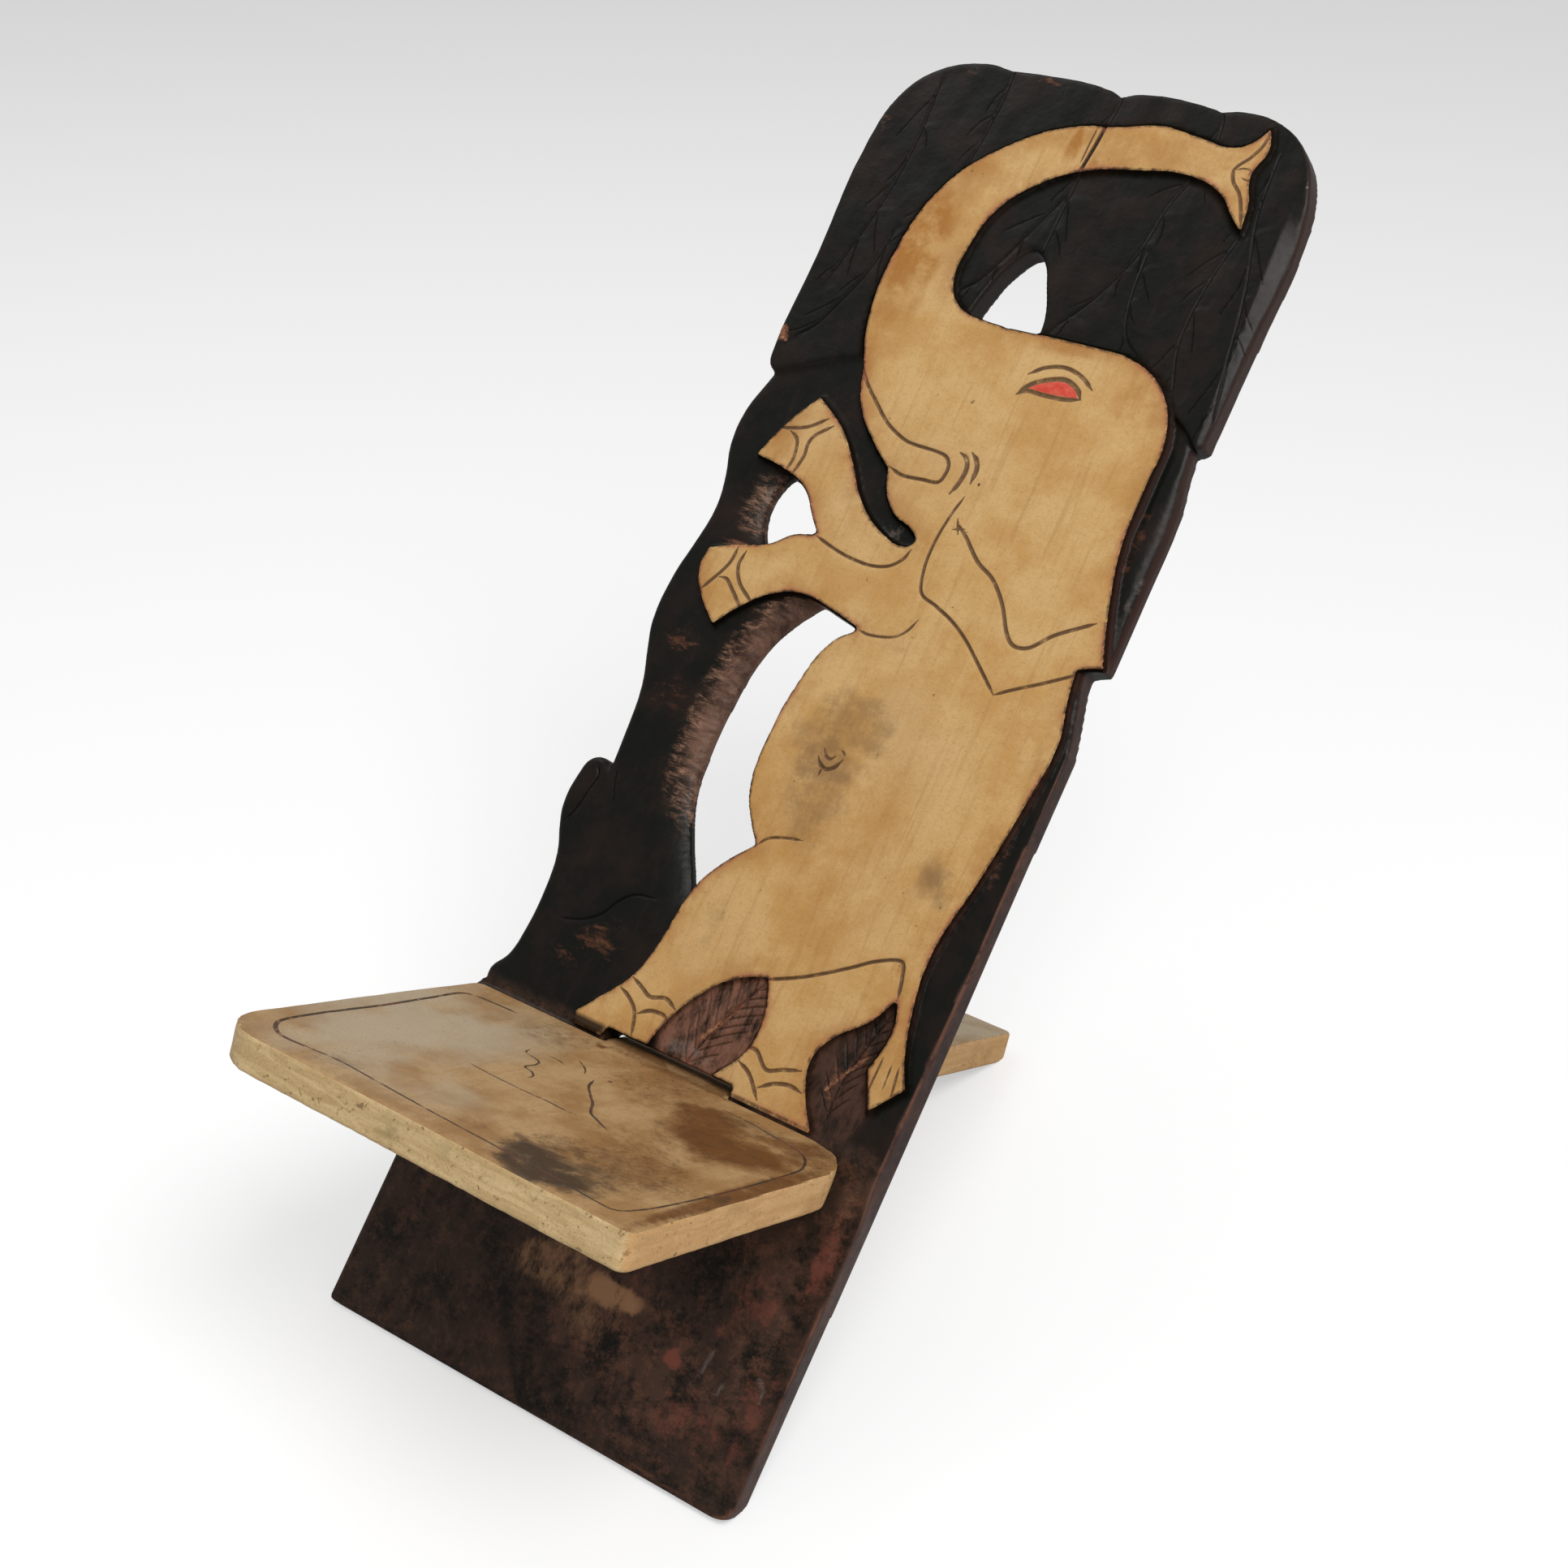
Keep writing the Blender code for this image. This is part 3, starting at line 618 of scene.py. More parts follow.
class BoardFields:
    """What the shaping and the colouring of the back board share, at each point of its mesh."""

    def __init__(self, mesh, lines, ground):
        self.points, self.normals = mesh_points(mesh)
        self.flat = self.points[:, :2].copy()
        self.x, self.y = self.flat.T
        self.level = self.points[:, 2].copy()
        self.height = self.level + BOARD_THICKNESS
        self.facing = smooth_step(self.normals[:, 2], *FACING)
        self.figure = smooth_step(self.level, *FIGURE_FADE)
        self.edges = mesh_edges(mesh)
        self.edge = convex_edges(self.points, self.normals, self.edges, EDGE_ROUNDS)
        self.rim = self.rim_distance()
        self.depth, self.in_line = lines.cut(self.flat)
        self.ground_depth, self.in_ground = ground.cut(self.flat)
        self.panel = smooth_step(self.y, *PANEL_TOP)
        self.spine = self.within(SPINE)
        self.on_level = smooth_step(self.level, *TREE_LEVEL)
        carved = (1.0 - self.figure) * (1.0 - self.panel) * (1.0 - self.spine)
        self.carved_ground = carved * self.facing
        self.on_tree = carved * self.on_level
        self.log = self.log_distance()

    def within(self, region):
        """A region's fade across the board times its fade up the board."""
        across, up = region
        return smooth_step(self.x, *across) * smooth_step(self.y, *up)

    def between(self, band):
        """A band's fade at one end times its fade at the other, up the board."""
        one, other = band
        return smooth_step(self.y, *one) * smooth_step(self.y, *other)

    def rim_distance(self):
        """Distance from the figure's outline, up to a reach."""
        above = self.level[self.edges] > FIGURE_EDGE
        ends = self.points[self.edges[above[:, 0] != above[:, 1]]]
        return nearest_distance(self.points, 0.5 * (ends[:, 0] + ends[:, 1]), RIM_REACH)

    def log_distance(self):
        """Distance over the face from the tree's walls along the openings, up to a reach."""
        wall = (self.normals[:, 0] > WALL_NORMAL) & (self.level < WALL_LEVEL) & (self.x < LOG_RIGHT)
        return nearest_distance(on_face(self.flat), on_face(self.flat[wall][::WALL_STEP]), LOG_REACH)


def refine_back_board(mesh, lines, ground):
    """Makes the mesh finer along the lines cut into the figure and into the ground."""
    points, normals = mesh_points(mesh)
    flat = points[:, :2]
    on_figure = points[:, 2] > FIGURE_EDGE
    near_lines = np.where(on_figure, lines.near(flat, LINE_MARGIN), ground.near(flat, GROUND_MARGIN))
    divide_near(mesh, near_lines & (normals[:, 2] > FACING_LIMIT), LINE_CUTS)


def shape_back_board(mesh, f):
    """Cuts the lines, rounds the tree, bevels the canopy, and wears the face and its edges."""
    lowered = f.figure * f.facing * f.depth + f.carved_ground * f.ground_depth
    rounding = LOG_CROWN * (1.0 - f.log / LOG_REACH) ** 2
    lowered += f.on_tree * rounding * f.height / TREE_HEIGHT
    bevel_start = BEVEL_LEFT + BEVEL_LEAN * (BEVEL_LEFT_HEIGHT - f.y)
    bevel = np.clip(BEVEL_SLOPE * (f.x - bevel_start), 0.0, BEVEL_LIMIT) * f.between(BEVEL_BAND)
    lowered += bevel * f.height / BOARD_THICKNESS
    ledge = f.within(LEDGE) * (smooth_step(f.y, *LEDGE_HIGH) * (1.0 - f.figure))
    lowered += ledge * np.maximum(f.level + TREE_DEPTH, 0.0)
    strip = f.within(STRIP)
    ridge = EAR_STRIP_CROWN * strip * (f.level > WALL_LEVEL) * smooth_step(f.rim, *STRIP_RIDGE)
    lowered += f.carved_ground * ridge * f.on_level
    shoulder = np.clip((f.x - SHOULDER_LEFT) / SHOULDER_WIDTH, 0.0, 1.0) ** 2
    shoulder *= smooth_step(f.y, *SHOULDER_TOP)
    lowered += EAR_STRIP_FALL * strip * shoulder * (1.0 - f.figure) * f.height / TREE_HEIGHT
    lowered += HAND_WAVE * f.facing * noise(f.points, HAND_WAVE_SIZE) * (PLAIN_WAVE + f.carved_ground)
    lowered += TOOL_WAVE * f.carved_ground * noise(f.points, TOOL_WAVE_SIZE, 3)
    points = f.points.copy()
    points[:, 2] -= lowered
    chip = smooth_step(f.edge, *CHIP_EDGE) * smooth_step(noise(points, CHIP_SIZE, 5), *CHIP_PLACES)
    points -= f.normals * (CHIP_DEPTH * chip * (1.0 - f.figure) * (1.0 - f.spine))[:, None]
    points[:, 0] += FOOT_FLARE * f.within(FLARE) * f.height / BOARD_THICKNESS
    set_points(mesh, points)


def colour_back_board(mesh, f):
    """Stores the fields that the board's material reads."""
    smear = SMEAR * f.within(SMEAR_REGION)
    midribs = np.max([amount * near_curve(f.flat, *rib) for *rib, amount in WORN_MIDRIBS], axis=0)
    scratches = np.max([near_curve(f.flat, line, SCRATCH_REACH) for line in PANEL_SCRATCHES], axis=0)
    up_log = np.maximum(f.between(LOWER_BARK_BAND), UPPER_BARK * f.between(UPPER_BARK_BAND))
    rail = smooth_step(f.edge, *RAIL_EDGE) * f.within(RAIL) * smooth_step(f.level, *RAIL_LEVEL)
    leaves = [amount * smooth_step(blob(f.flat, *spot), *LEAF_EDGE) for *spot, amount in LEAF_SPOTS]
    fields = {
        "level": f.level,
        "rim": f.rim,
        "line": f.in_line * f.facing,
        "ground_line": f.in_ground * f.carved_ground,
        "eye": inside_distance(f.flat, eye_outline()),
        "edge": f.edge,
        "grey": blobs(f.flat, GREY_STAINS),
        "orange": blobs(f.flat, ORANGE_STAINS),
        # painted shade in the deepest cuts, with the dark smear at the foot's base
        "deep_shade_and_smear": np.maximum(smooth_step(f.depth, *DEEP_DEPTH), smear) * f.figure,
        "worn": np.maximum(blobs(f.flat, WORN_SPOTS), midribs) * f.facing,
        "bark": f.on_tree * up_log * smooth_step(f.log, LOG_REACH, BARK_FULL),
        # pale dust and chips, with painted highlights
        "dust_and_highlight": blobs(f.flat, DUST_AND_HIGHLIGHT_SPOTS) * f.facing,
        "red": blobs(f.flat, RED_SPOTS) * f.panel,
        "scratch": scratches * f.facing,
        "panel": np.maximum(blobs(f.flat, PANEL_SPOTS), PANEL_RUB) * f.panel,
        "tan": blobs(f.flat, TAN_SPOTS) * f.facing,
        "rail": rail,
        "leaf": np.max(leaves, axis=0) * smooth_step(f.y, *LEAF_LOW),
    }
    set_fields(mesh, fields)


def make_back_board():
    obj = dense_copy("back_board", "carved_back_board", BOARD_FRAME, BOARD_VOXEL)
    mesh = obj.data
    points, normals = mesh_points(mesh)
    flatten_plain(mesh, (normals[:, 2] < BACK_NORMAL) & (points[:, 2] < BACK_LEVEL))
    lines = table_strokes(FIGURE_LINES, spread=1.35, lap_depth=0.45)
    ground = ground_strokes()
    refine_back_board(mesh, lines, ground)
    fields = BoardFields(mesh, lines, ground)
    shape_back_board(mesh, fields)
    colour_back_board(mesh, fields)
    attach(obj, "back")
    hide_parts("back_board")
    return obj


# The seat board, in millimetres.

FORWARD = np.array((1.0, -1.0))
GROOVE_SIDE = 150.0
GROOVE_LENGTH = (-230.0, -8.0)
GROOVE_LEVEL = -3.0
LINE_MEAN = 0.75
LINE_CHANGE = 0.35
LINE_CHANGE_SIZE = 14.0
TONGUE_FILL = 2.25
SLOT_FRONT = (2.0, 6.0)
SLOT_BEHIND = (60.0, 40.0)
SIDE_NORMAL = (0.3, 0.7)
CLEAR_OF_BACK = (3.0, 14.0)
LONG_WAVE = 0.3
LONG_WAVE_SIZE = (45.0, 60.0, 30.0)
SHORT_WAVE = 0.12
SHORT_WAVE_SIZE = 12.0
SAWN_WAVE = 0.16
SAWN_WAVE_SIZE = 5.0
WAVE_SINK = 0.2
WORN_DEPTH = 0.6
WORN_SIZE = 16.0
WORN_EDGE = (0.1, 0.3)
WORN_PLACES = (0.0, 0.7)

SEAT_LINES = [
    ([(-108, 24), (-126, 25), (-141, 28), (-147, 36), (-146, 60), (-143.5, 110), (-144, 165), (-142, 195),
      (-137, 207), (-128, 214.5), (-118, 217), (-100, 214.5)], 3.4, 1.2),
    ([(-104, 215.2), (-80, 211.5), (-50, 213), (0, 216), (38, 217), (80, 218), (118, 221), (130, 220),
      (135, 210), (138, 190), (140, 150), (140, 100), (139, 62), (135, 47), (126, 34), (114, 28), (96, 25),
      (80, 22), (55, 21)], 2.1, 0.9),
    ([(-52, 131), (-20, 132), (8, 130.5), (20, 130.5), (30, 130)], 1.7, 0.6),
    ([(52, 129), (40, 123), (30, 117), (20, 103), (12, 95), (0, 82), (-6, 70)], 2.2, 0.9),
    ([(-15, 68), (-21, 60), (-33, 51)], 1.5, 0.5),
    ([(-23, 112), (-24, 106), (-29, 101), (-37, 98), (-37, 88), (-41, 81), (-54, 77), (-57, 70)], 1.8, 0.6),
    ([(-47, 66), (-38, 66), (-30, 69)], 1.3, 0.4),
]
# Grey where the seat was rubbed, and a paler tail top as painted light.
SEAT_GREY_AND_TAIL_LIGHT = [
    ((-108, 130), (76, 130), 1.0), ((-60, 190), (90, 60), 0.8), ((-150, 90), (20, 120), 0.5),
    ((0, -330), (90, 90), 1.25),
]
# Brown where the seat was held, and a band along the back edge as painted shade where the seat meets the
# board.
SEAT_BROWN_AND_BACK_SHADE = [
    ((106, 79), (50, 44), 1.1), ((84, 70), (56, 64), 1.0), ((70, 46), (46, 34), 1.0),
    ((150, 120), (16, 150), 1.0), ((0, -4), (140, 24), 0.8), ((122, 28), (46, 34), 0.9),
    ((-60, 20), (80, 44), 0.6), ((100, 165), (64, 56), 0.75), ((-155, 226), (20, 20), 0.5),
    ((20, 40), (60, 50), 0.5), ((-43, 14), (7, 8), 1.0), ((70, 130), (40, 40), 0.5),
]
SEAT_SMUDGE = [
    ((84, 222), (44, 30), 1.0), ((64, 204), (44, 26), 1.0), ((98, 200), (40, 30), 0.75),
    ((60, 180), (30, 24), 0.55), ((-82, 214), (34, 16), 0.4), ((100, 165), (50, 34), 0.4),
    ((84, 90), (40, 40), 0.45), ((148, 145), (9, 14), 0.8), ((2, 61), (3, 3), 1.0),
    ((80, 34), (44, 22), 0.5), ((20, 205), (24, 14), 0.35),
]


def make_seat_board():
    obj = dense_copy("seat_board", "worn_seat_board", SEAT_FRAME, SEAT_VOXEL)
    mesh = obj.data
    lines = table_strokes(SEAT_LINES, spread=1.15, lap_depth=0.0)
    prepare_seat(mesh, lines)

    points, normals = mesh_points(mesh)
    flat = points[:, :2] * FORWARD
    top = smooth_step(normals[:, 2], *FACING)
    edge = convex_edges(points, normals, mesh_edges(mesh), EDGE_ROUNDS)
    depth, in_line = lines.cut(flat)
    depth *= LINE_MEAN + LINE_CHANGE * noise(points, LINE_CHANGE_SIZE, 2)
    points[:, 2] -= top * depth
    wave = LONG_WAVE * noise(points, LONG_WAVE_SIZE) + SHORT_WAVE * noise(points, SHORT_WAVE_SIZE, 1)
    wave += SAWN_WAVE * (1.0 - top) * noise(points, SAWN_WAVE_SIZE, 6)
    in_slot = smooth_step(points[:, 1], *SLOT_FRONT) * smooth_step(points[:, 1], *SLOT_BEHIND)
    outward = np.sign(normals[:, 0]) * smooth_step(np.abs(normals[:, 0]), *SIDE_NORMAL)
    points[:, 0] += TONGUE_FILL * in_slot * outward
    worn = smooth_step(edge, *WORN_EDGE) * smooth_step(noise(points, WORN_SIZE, 4), *WORN_PLACES)
    free = smooth_step(flat[:, 1], *CLEAR_OF_BACK)
    sunk = WAVE_SINK + np.maximum(wave, -WAVE_SINK) + WORN_DEPTH * worn
    points -= normals * (free * sunk)[:, None]
    set_points(mesh, points)
    fields = {
        "line": in_line * top,
        "edge": edge,
        # grey rubbing, and painted light on the tail top
        "grey": blobs(flat, SEAT_GREY_AND_TAIL_LIGHT),
        # brown where held, and painted shade along the back edge
        "brown": blobs(flat, SEAT_BROWN_AND_BACK_SHADE),
        "smudge": blobs(flat, SEAT_SMUDGE),
    }
    set_fields(mesh, fields)
    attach(obj, "seat")
    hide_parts("seat_board")
    return obj


def prepare_seat(mesh, lines):
    """Levels the solid's border groove, and makes the mesh finer where the lines are cut instead."""
    points, normals = mesh_points(mesh)
    low, high = GROOVE_LENGTH
    inner = (np.abs(points[:, 0]) < GROOVE_SIDE) & (points[:, 1] > low) & (points[:, 1] < high)
    points[inner & (points[:, 2] > GROOVE_LEVEL), 2] = 0.0
    set_points(mesh, points)
    near_lines = lines.near(points[:, :2] * FORWARD, LINE_MARGIN)
    divide_near(mesh, near_lines & (normals[:, 2] > FACING_LIMIT), LINE_CUTS)


# Materials.


def colour(red, green, blue):
    """A colour written as on a screen, from 0 to 255, in linear light."""
    def linear(value):
        value /= 255.0
        return value / 12.92 if value <= 0.04045 else ((value + 0.055) / 1.055) ** 2.4
    return (linear(red), linear(green), linear(blue), 1.0)


def grey_level(value):
    return (value, value, value, 1.0)


# Sockets of the mix node that carry colours.
MIX_FIRST, MIX_SECOND, MIX_RESULT = 6, 7, 2


class Shader:
    """One node material, built step by step."""

    def __init__(self, name):
        self.material = bpy.data.materials.new(name)
        self.material.use_nodes = True
        self.tree = self.material.node_tree
        self.surface = self.tree.nodes["Principled BSDF"]
        coordinates = self.node("TexCoord")
        self.place = coordinates.outputs["Object"]
        self.normal = coordinates.outputs["Normal"]
        self.base = None

    def node(self, kind, **settings):
        node = self.tree.nodes.new("ShaderNode" + kind)
        for key, value in settings.items():
            setattr(node, key, value)
        return node

    def feed(self, socket, value):
        if isinstance(value, bpy.types.NodeSocket):
            self.tree.links.new(value, socket)
        else:
            socket.default_value = value

    def set(self, name, value):
        self.feed(self.surface.inputs[name], value)

    def field(self, name):
        return self.node("Attribute", attribute_name=name).outputs["Fac"]

    def math(self, operation, *values):
        node = self.node("Math", operation=operation)
        for socket, value in zip(node.inputs, values):
            self.feed(socket, value)
        return node.outputs[0]

    def line(self, value, slope, start):
        return self.math("MULTIPLY_ADD", value, slope, start)

    def absolute(self, value):
        return self.math("ABSOLUTE", value, 0.0)

    def times(self, a, b):
        return self.math("MULTIPLY", a, b)

    def either(self, a, b):
        return self.math("MAXIMUM", a, b)

    def step(self, value, low, high):
        node = self.node("MapRange", interpolation_type="SMOOTHSTEP")
        self.feed(node.inputs["Value"], value)
        self.feed(node.inputs["From Min"], low)
        self.feed(node.inputs["From Max"], high)
        return node.outputs[0]

    def fall(self, value, low, high):
        return self.math("SUBTRACT", 1.0, self.step(value, low, high))

    def ragged(self, field, grain, reach=0.35, low=0.45, high=0.6):
        """A spot that fades out in broken patches of a grain noise."""
        shift = self.line(field, reach, -0.5 * reach)
        return self.times(field, self.step(self.math("ADD", grain, shift), low, high))

    def mix(self, amount, a, b):
        node = self.node("Mix", data_type="RGBA")
        self.feed(node.inputs[0], amount)
        self.feed(node.inputs[MIX_FIRST], a)
        self.feed(node.inputs[MIX_SECOND], b)
        return node.outputs[MIX_RESULT]

    def cover(self, mask, shade):
        """Lays a shade over the base colour where a mask is above 0."""
        self.base = self.mix(mask, self.base, shade)

    def tint(self, mask, amount, shade):
        self.cover(self.times(mask, amount), shade)

    def stretched(self, x, y, z):
        node = self.node("Mapping")
        self.feed(node.inputs["Vector"], self.place)
        node.inputs["Scale"].default_value = (x, y, z)
        return node.outputs[0]

    def noise(self, scale, detail=3.0, rough=0.55, place=None, distortion=0.0):
        node = self.node("TexNoise")
        self.feed(node.inputs["Vector"], place or self.place)
        node.inputs["Scale"].default_value = scale
        node.inputs["Detail"].default_value = detail
        node.inputs["Roughness"].default_value = rough
        node.inputs["Distortion"].default_value = distortion
        return node.outputs[0]

    def patches(self, low, high, scale, detail=3.0, rough=0.55):
        """Noise made into patches: 0 below one value and 1 above another."""
        return self.step(self.noise(scale, detail, rough), low, high)

    def axis(self, vector, name):
        node = self.node("SeparateXYZ")
        self.feed(node.inputs[0], vector)
        return node.outputs[name]

    def bump(self, height, distance, before=None):
        node = self.node("Bump")
        self.feed(node.inputs["Height"], height)
        node.inputs["Distance"].default_value = distance
        if before:
            self.feed(node.inputs["Normal"], before)
        return node.outputs[0]

    def give_to(self, obj):
        obj.data.materials.clear()
        obj.data.materials.append(self.material)


def natural_wood(s):
    """The elephant: honey-coloured wood with soft stains, fine grain and dark cut lines."""
    grain = s.noise(1.0, 6.0, 0.65, s.stretched(170.0, 10.0, 170.0), 0.7)
    s.base = s.mix(s.patches(0.36, 0.64, 17.0, 6.0, 0.66), colour(210, 172, 116), colour(195, 150, 89))
    s.tint(s.step(grain, 0.5, 0.7), 0.34, colour(168, 124, 70))
    s.tint(s.patches(0.48, 0.7, 6.0), 0.55, colour(207, 174, 126))
    orange = s.times(s.field("orange"), s.patches(0.32, 0.6, 36.0, 6.0, 0.72))
    s.tint(orange, 0.9, colour(164, 106, 42))
    rim = s.field("rim")
    toned = s.times(s.fall(rim, 0.0, 18.0), s.patches(0.38, 0.62, 26.0, 5.0, 0.7))
    s.tint(toned, 0.5, colour(160, 106, 50))
    grey = s.ragged(s.field("grey"), s.noise(70.0, 10.0, 0.82), 0.3, 0.38, 0.66)
    s.tint(grey, 0.62, colour(108, 82, 58))
    specks = s.times(s.patches(0.7, 0.76, 190.0, 2.0), s.patches(0.4, 0.58, 11.0, 1.0))
    s.tint(specks, 0.7, colour(92, 64, 38))
    s.tint(s.patches(0.48, 0.7, 330.0, 5.0, 0.75), 0.24, colour(146, 104, 58))
    s.tint(s.patches(0.5, 0.66, 900.0, 2.0), 0.2, colour(150, 108, 60))
    line = s.field("line")
    shade = s.times(s.step(line, 0.0, 0.3), s.patches(0.3, 0.6, 70.0, 3.0, 0.7))
    s.tint(shade, 0.55, colour(136, 100, 62))
    cut = s.times(s.step(line, 0.1, 0.45), s.patches(0.2, 0.52, 130.0, 4.0, 0.75))
    s.tint(cut, 0.88, colour(92, 66, 45))
    # Painted shade: near black where the cuts are deepest, and the dark smear at the foot's base.
    s.tint(s.field("deep_shade_and_smear"), 0.9, colour(36, 24, 18))
    paint = s.mix(s.patches(0.35, 0.7, 240.0, 3.0), colour(204, 70, 56), colour(216, 96, 78))
    s.cover(s.step(s.field("eye"), 0.4, 1.0), paint)
    blush = s.times(s.fall(rim, 1.2, 4.5), s.patches(0.44, 0.6, 20.0, 4.0))
    s.tint(blush, 0.55, colour(176, 108, 78))
    # A thin dark line along the figure's outline.
    dark_outline = s.times(s.fall(rim, 0.3, 2.2), s.patches(0.32, 0.6, 150.0, 4.0, 0.7))
    s.tint(dark_outline, 0.85, colour(56, 36, 28))
    return s.base


def stained_wood(s):
    """The ground: wood stained nearly black, rubbed back to brown and orange on edges and worn places, with
    painted sheen and highlights on the canopy's bevel and some ridges, and painted shade in its grooves and
    at the foot of the figure.
    """
    streak = s.noise(1.0, 6.0, 0.7, s.stretched(90.0, 24.0, 90.0), 0.6)
    s.base = s.mix(s.patches(0.42, 0.66, 20.0, 6.0, 0.68), colour(13, 14, 9), colour(32, 22, 17))
    s.tint(s.step(streak, 0.52, 0.74), 0.4, colour(44, 29, 22))
    rub_panel(s)
    veined = s.noise(1.0, 6.0, 0.75, s.stretched(120.0, 50.0, 90.0))
    s.tint(s.times(s.field("leaf"), s.step(veined, 0.3, 0.62)), 0.9, colour(132, 92, 74))
    across = s.axis(s.place, "X")
    upward = s.axis(s.place, "Y")
    sideways = s.axis(s.normal, "X")
    side = s.times(s.step(s.absolute(across), 0.1, 0.13), s.step(s.absolute(sideways), 0.6, 0.95))
    low_side = s.mix(s.patches(0.4, 0.62, 34.0, 6.0, 0.75), colour(52, 35, 30), colour(84, 54, 44))
    s.tint(side, 0.8, s.mix(s.fall(upward, 0.45, 0.6), colour(64, 40, 33), low_side))
    # Painted sheen: the canopy's right bevel turns lighter grey where its face turns to the side.
    bevel = s.times(s.step(sideways, 0.22, 0.42), s.step(upward, 0.55, 0.7))
    s.tint(bevel, 0.3, colour(60, 50, 46))
    chisel = s.noise(1.0, 9.0, 0.84, s.stretched(70.0, 200.0, 120.0), 0.5)
    along = s.field("bark")
    rubbed = s.mix(s.patches(0.4, 0.62, 26.0, 6.0, 0.75), colour(74, 52, 42), colour(124, 92, 76))
    s.tint(s.ragged(along, chisel, 0.3, 0.38, 0.68), 0.9, rubbed)
    crest = s.times(s.step(along, 0.2, 0.5), s.fall(along, 0.75, 1.1))
    s.tint(s.times(crest, s.step(chisel, 0.48, 0.62)), 0.6, colour(168, 128, 102))
    worn = s.ragged(s.field("worn"), chisel)
    s.tint(worn, 0.9, colour(124, 78, 56))
    pale = s.times(s.step(worn, 0.45, 0.9), s.patches(0.48, 0.62, 110.0, 6.0, 0.78))
    s.tint(pale, 0.85, colour(190, 140, 104))
    # Pale dust and chips, with painted highlights on rounded ridges and edges.
    s.tint(s.ragged(s.field("dust_and_highlight"), s.noise(90.0, 8.0, 0.8)), 0.65, colour(146, 130, 120))
    edge = s.times(s.step(s.field("edge"), 0.08, 0.28), s.patches(0.54, 0.66, 80.0, 6.0, 0.72))
    s.tint(edge, 0.7, colour(130, 80, 58))
    rail = s.times(s.field("rail"), s.patches(0.3, 0.54, 36.0, 6.0, 0.75))
    s.tint(rail, 0.6, colour(140, 94, 76))
    # Painted shade and dirt in the ground's cut folds, veins and bark lines.
    s.tint(s.step(s.field("ground_line"), 0.1, 0.6), 0.4, colour(8, 8, 6))
    # Painted shade and dirt on the ground at the foot of the figure's walls.
    s.tint(s.fall(s.field("rim"), 0.8, 4.0), 0.6, colour(16, 11, 8))
    return s.base


def rub_panel(s):
    """The foot panel: dull brown and reddish rubbing, a pale rub under the seat and a few scratches."""
    panel = s.field("panel")
    s.tint(s.times(panel, s.patches(0.4, 0.56, 28.0, 12.0, 0.8)), 0.95, colour(86, 62, 50))
    s.tint(s.times(panel, s.patches(0.48, 0.6, 64.0, 12.0, 0.84)), 0.75, colour(112, 74, 56))
    s.tint(s.ragged(s.field("red"), s.noise(54.0, 10.0, 0.84)), 0.8, colour(130, 72, 58))
    streak = s.noise(1.0, 5.0, 0.7, s.stretched(60.0, 420.0, 60.0), 1.2)
    worn = s.times(s.times(panel, s.step(streak, 0.6, 0.7)), s.patches(0.48, 0.6, 24.0, 3.0))
    s.tint(worn, 0.4, colour(140, 112, 96))
    fibre = s.noise(1.0, 10.0, 0.8, s.stretched(70.0, 36.0, 50.0))
    s.tint(s.ragged(s.field("tan"), fibre, 0.24, 0.42, 0.62), 0.85, colour(176, 132, 96))
    scratch = s.times(s.field("scratch"), s.patches(0.36, 0.56, 160.0, 4.0, 0.7))
    s.tint(scratch, 0.45, colour(132, 124, 120))


def plain_back(s):
    """The unseen back: a thin dark stain that lets the plank's grain show."""
    grain = s.noise(1.0, 6.0, 0.65, s.stretched(170.0, 7.0, 170.0), 0.8)
    s.base = s.mix(s.step(grain, 0.3, 0.7), colour(58, 40, 30), colour(92, 64, 44))
    s.tint(s.patches(0.45, 0.7, 14.0, 4.0), 0.6, colour(52, 38, 30))
    return s.base


GROUND_ROUGHNESS = 0.38
FIGURE_ROUGHNESS = 0.56
ROUGHNESS_CHANGE = 0.3
BOARD_SPECULAR = 0.17
TOOL_MARKS = 0.7 * MM
BOARD_PORES = 0.06 * MM


def carved_wood():
    """The back board: the figure, the ground and the unseen back, told apart by level and by normal."""
    s = Shader("Carved stained wood")
    natural = natural_wood(s)
    stained = stained_wood(s)
    figure = s.step(s.field("level"), FIGURE_EDGE - 0.12, FIGURE_EDGE + 0.02)
    behind = s.fall(s.axis(s.normal, "Z"), -0.9, -0.6)
    look = s.mix(figure, stained, natural)
    s.set("Base Color", s.mix(behind, look, plain_back(s)))
    gloss = s.mix(figure, grey_level(GROUND_ROUGHNESS), grey_level(FIGURE_ROUGHNESS))
    uneven = s.line(s.noise(120.0, 4.0, 0.65), ROUGHNESS_CHANGE, -0.5 * ROUGHNESS_CHANGE)
    s.set("Roughness", s.math("ADD", gloss, uneven))
    ground = s.math("SUBTRACT", 1.0, figure)
    groove = s.times(s.step(s.field("ground_line"), 0.02, 0.6), 0.6)
    hidden = s.times(ground, s.either(groove, s.fall(s.field("rim"), 2.0, 7.0)))
    s.set("Specular IOR Level", BOARD_SPECULAR)
    s.set("Specular IOR Level", s.times(s.math("SUBTRACT", 1.0, hidden), BOARD_SPECULAR))
    marks = s.bump(s.times(s.noise(70.0, 4.0, 0.55), ground), TOOL_MARKS)
    pores = s.noise(1.0, 4.0, 0.7, s.stretched(700.0, 90.0, 700.0))
    s.set("Normal", s.bump(pores, BOARD_PORES, marks))
    return s


SEAT_ROUGHNESS = 0.42
SEAT_SPECULAR = 0.3
SEAT_MARKS = 0.25 * MM
SEAT_PORES = 0.08 * MM


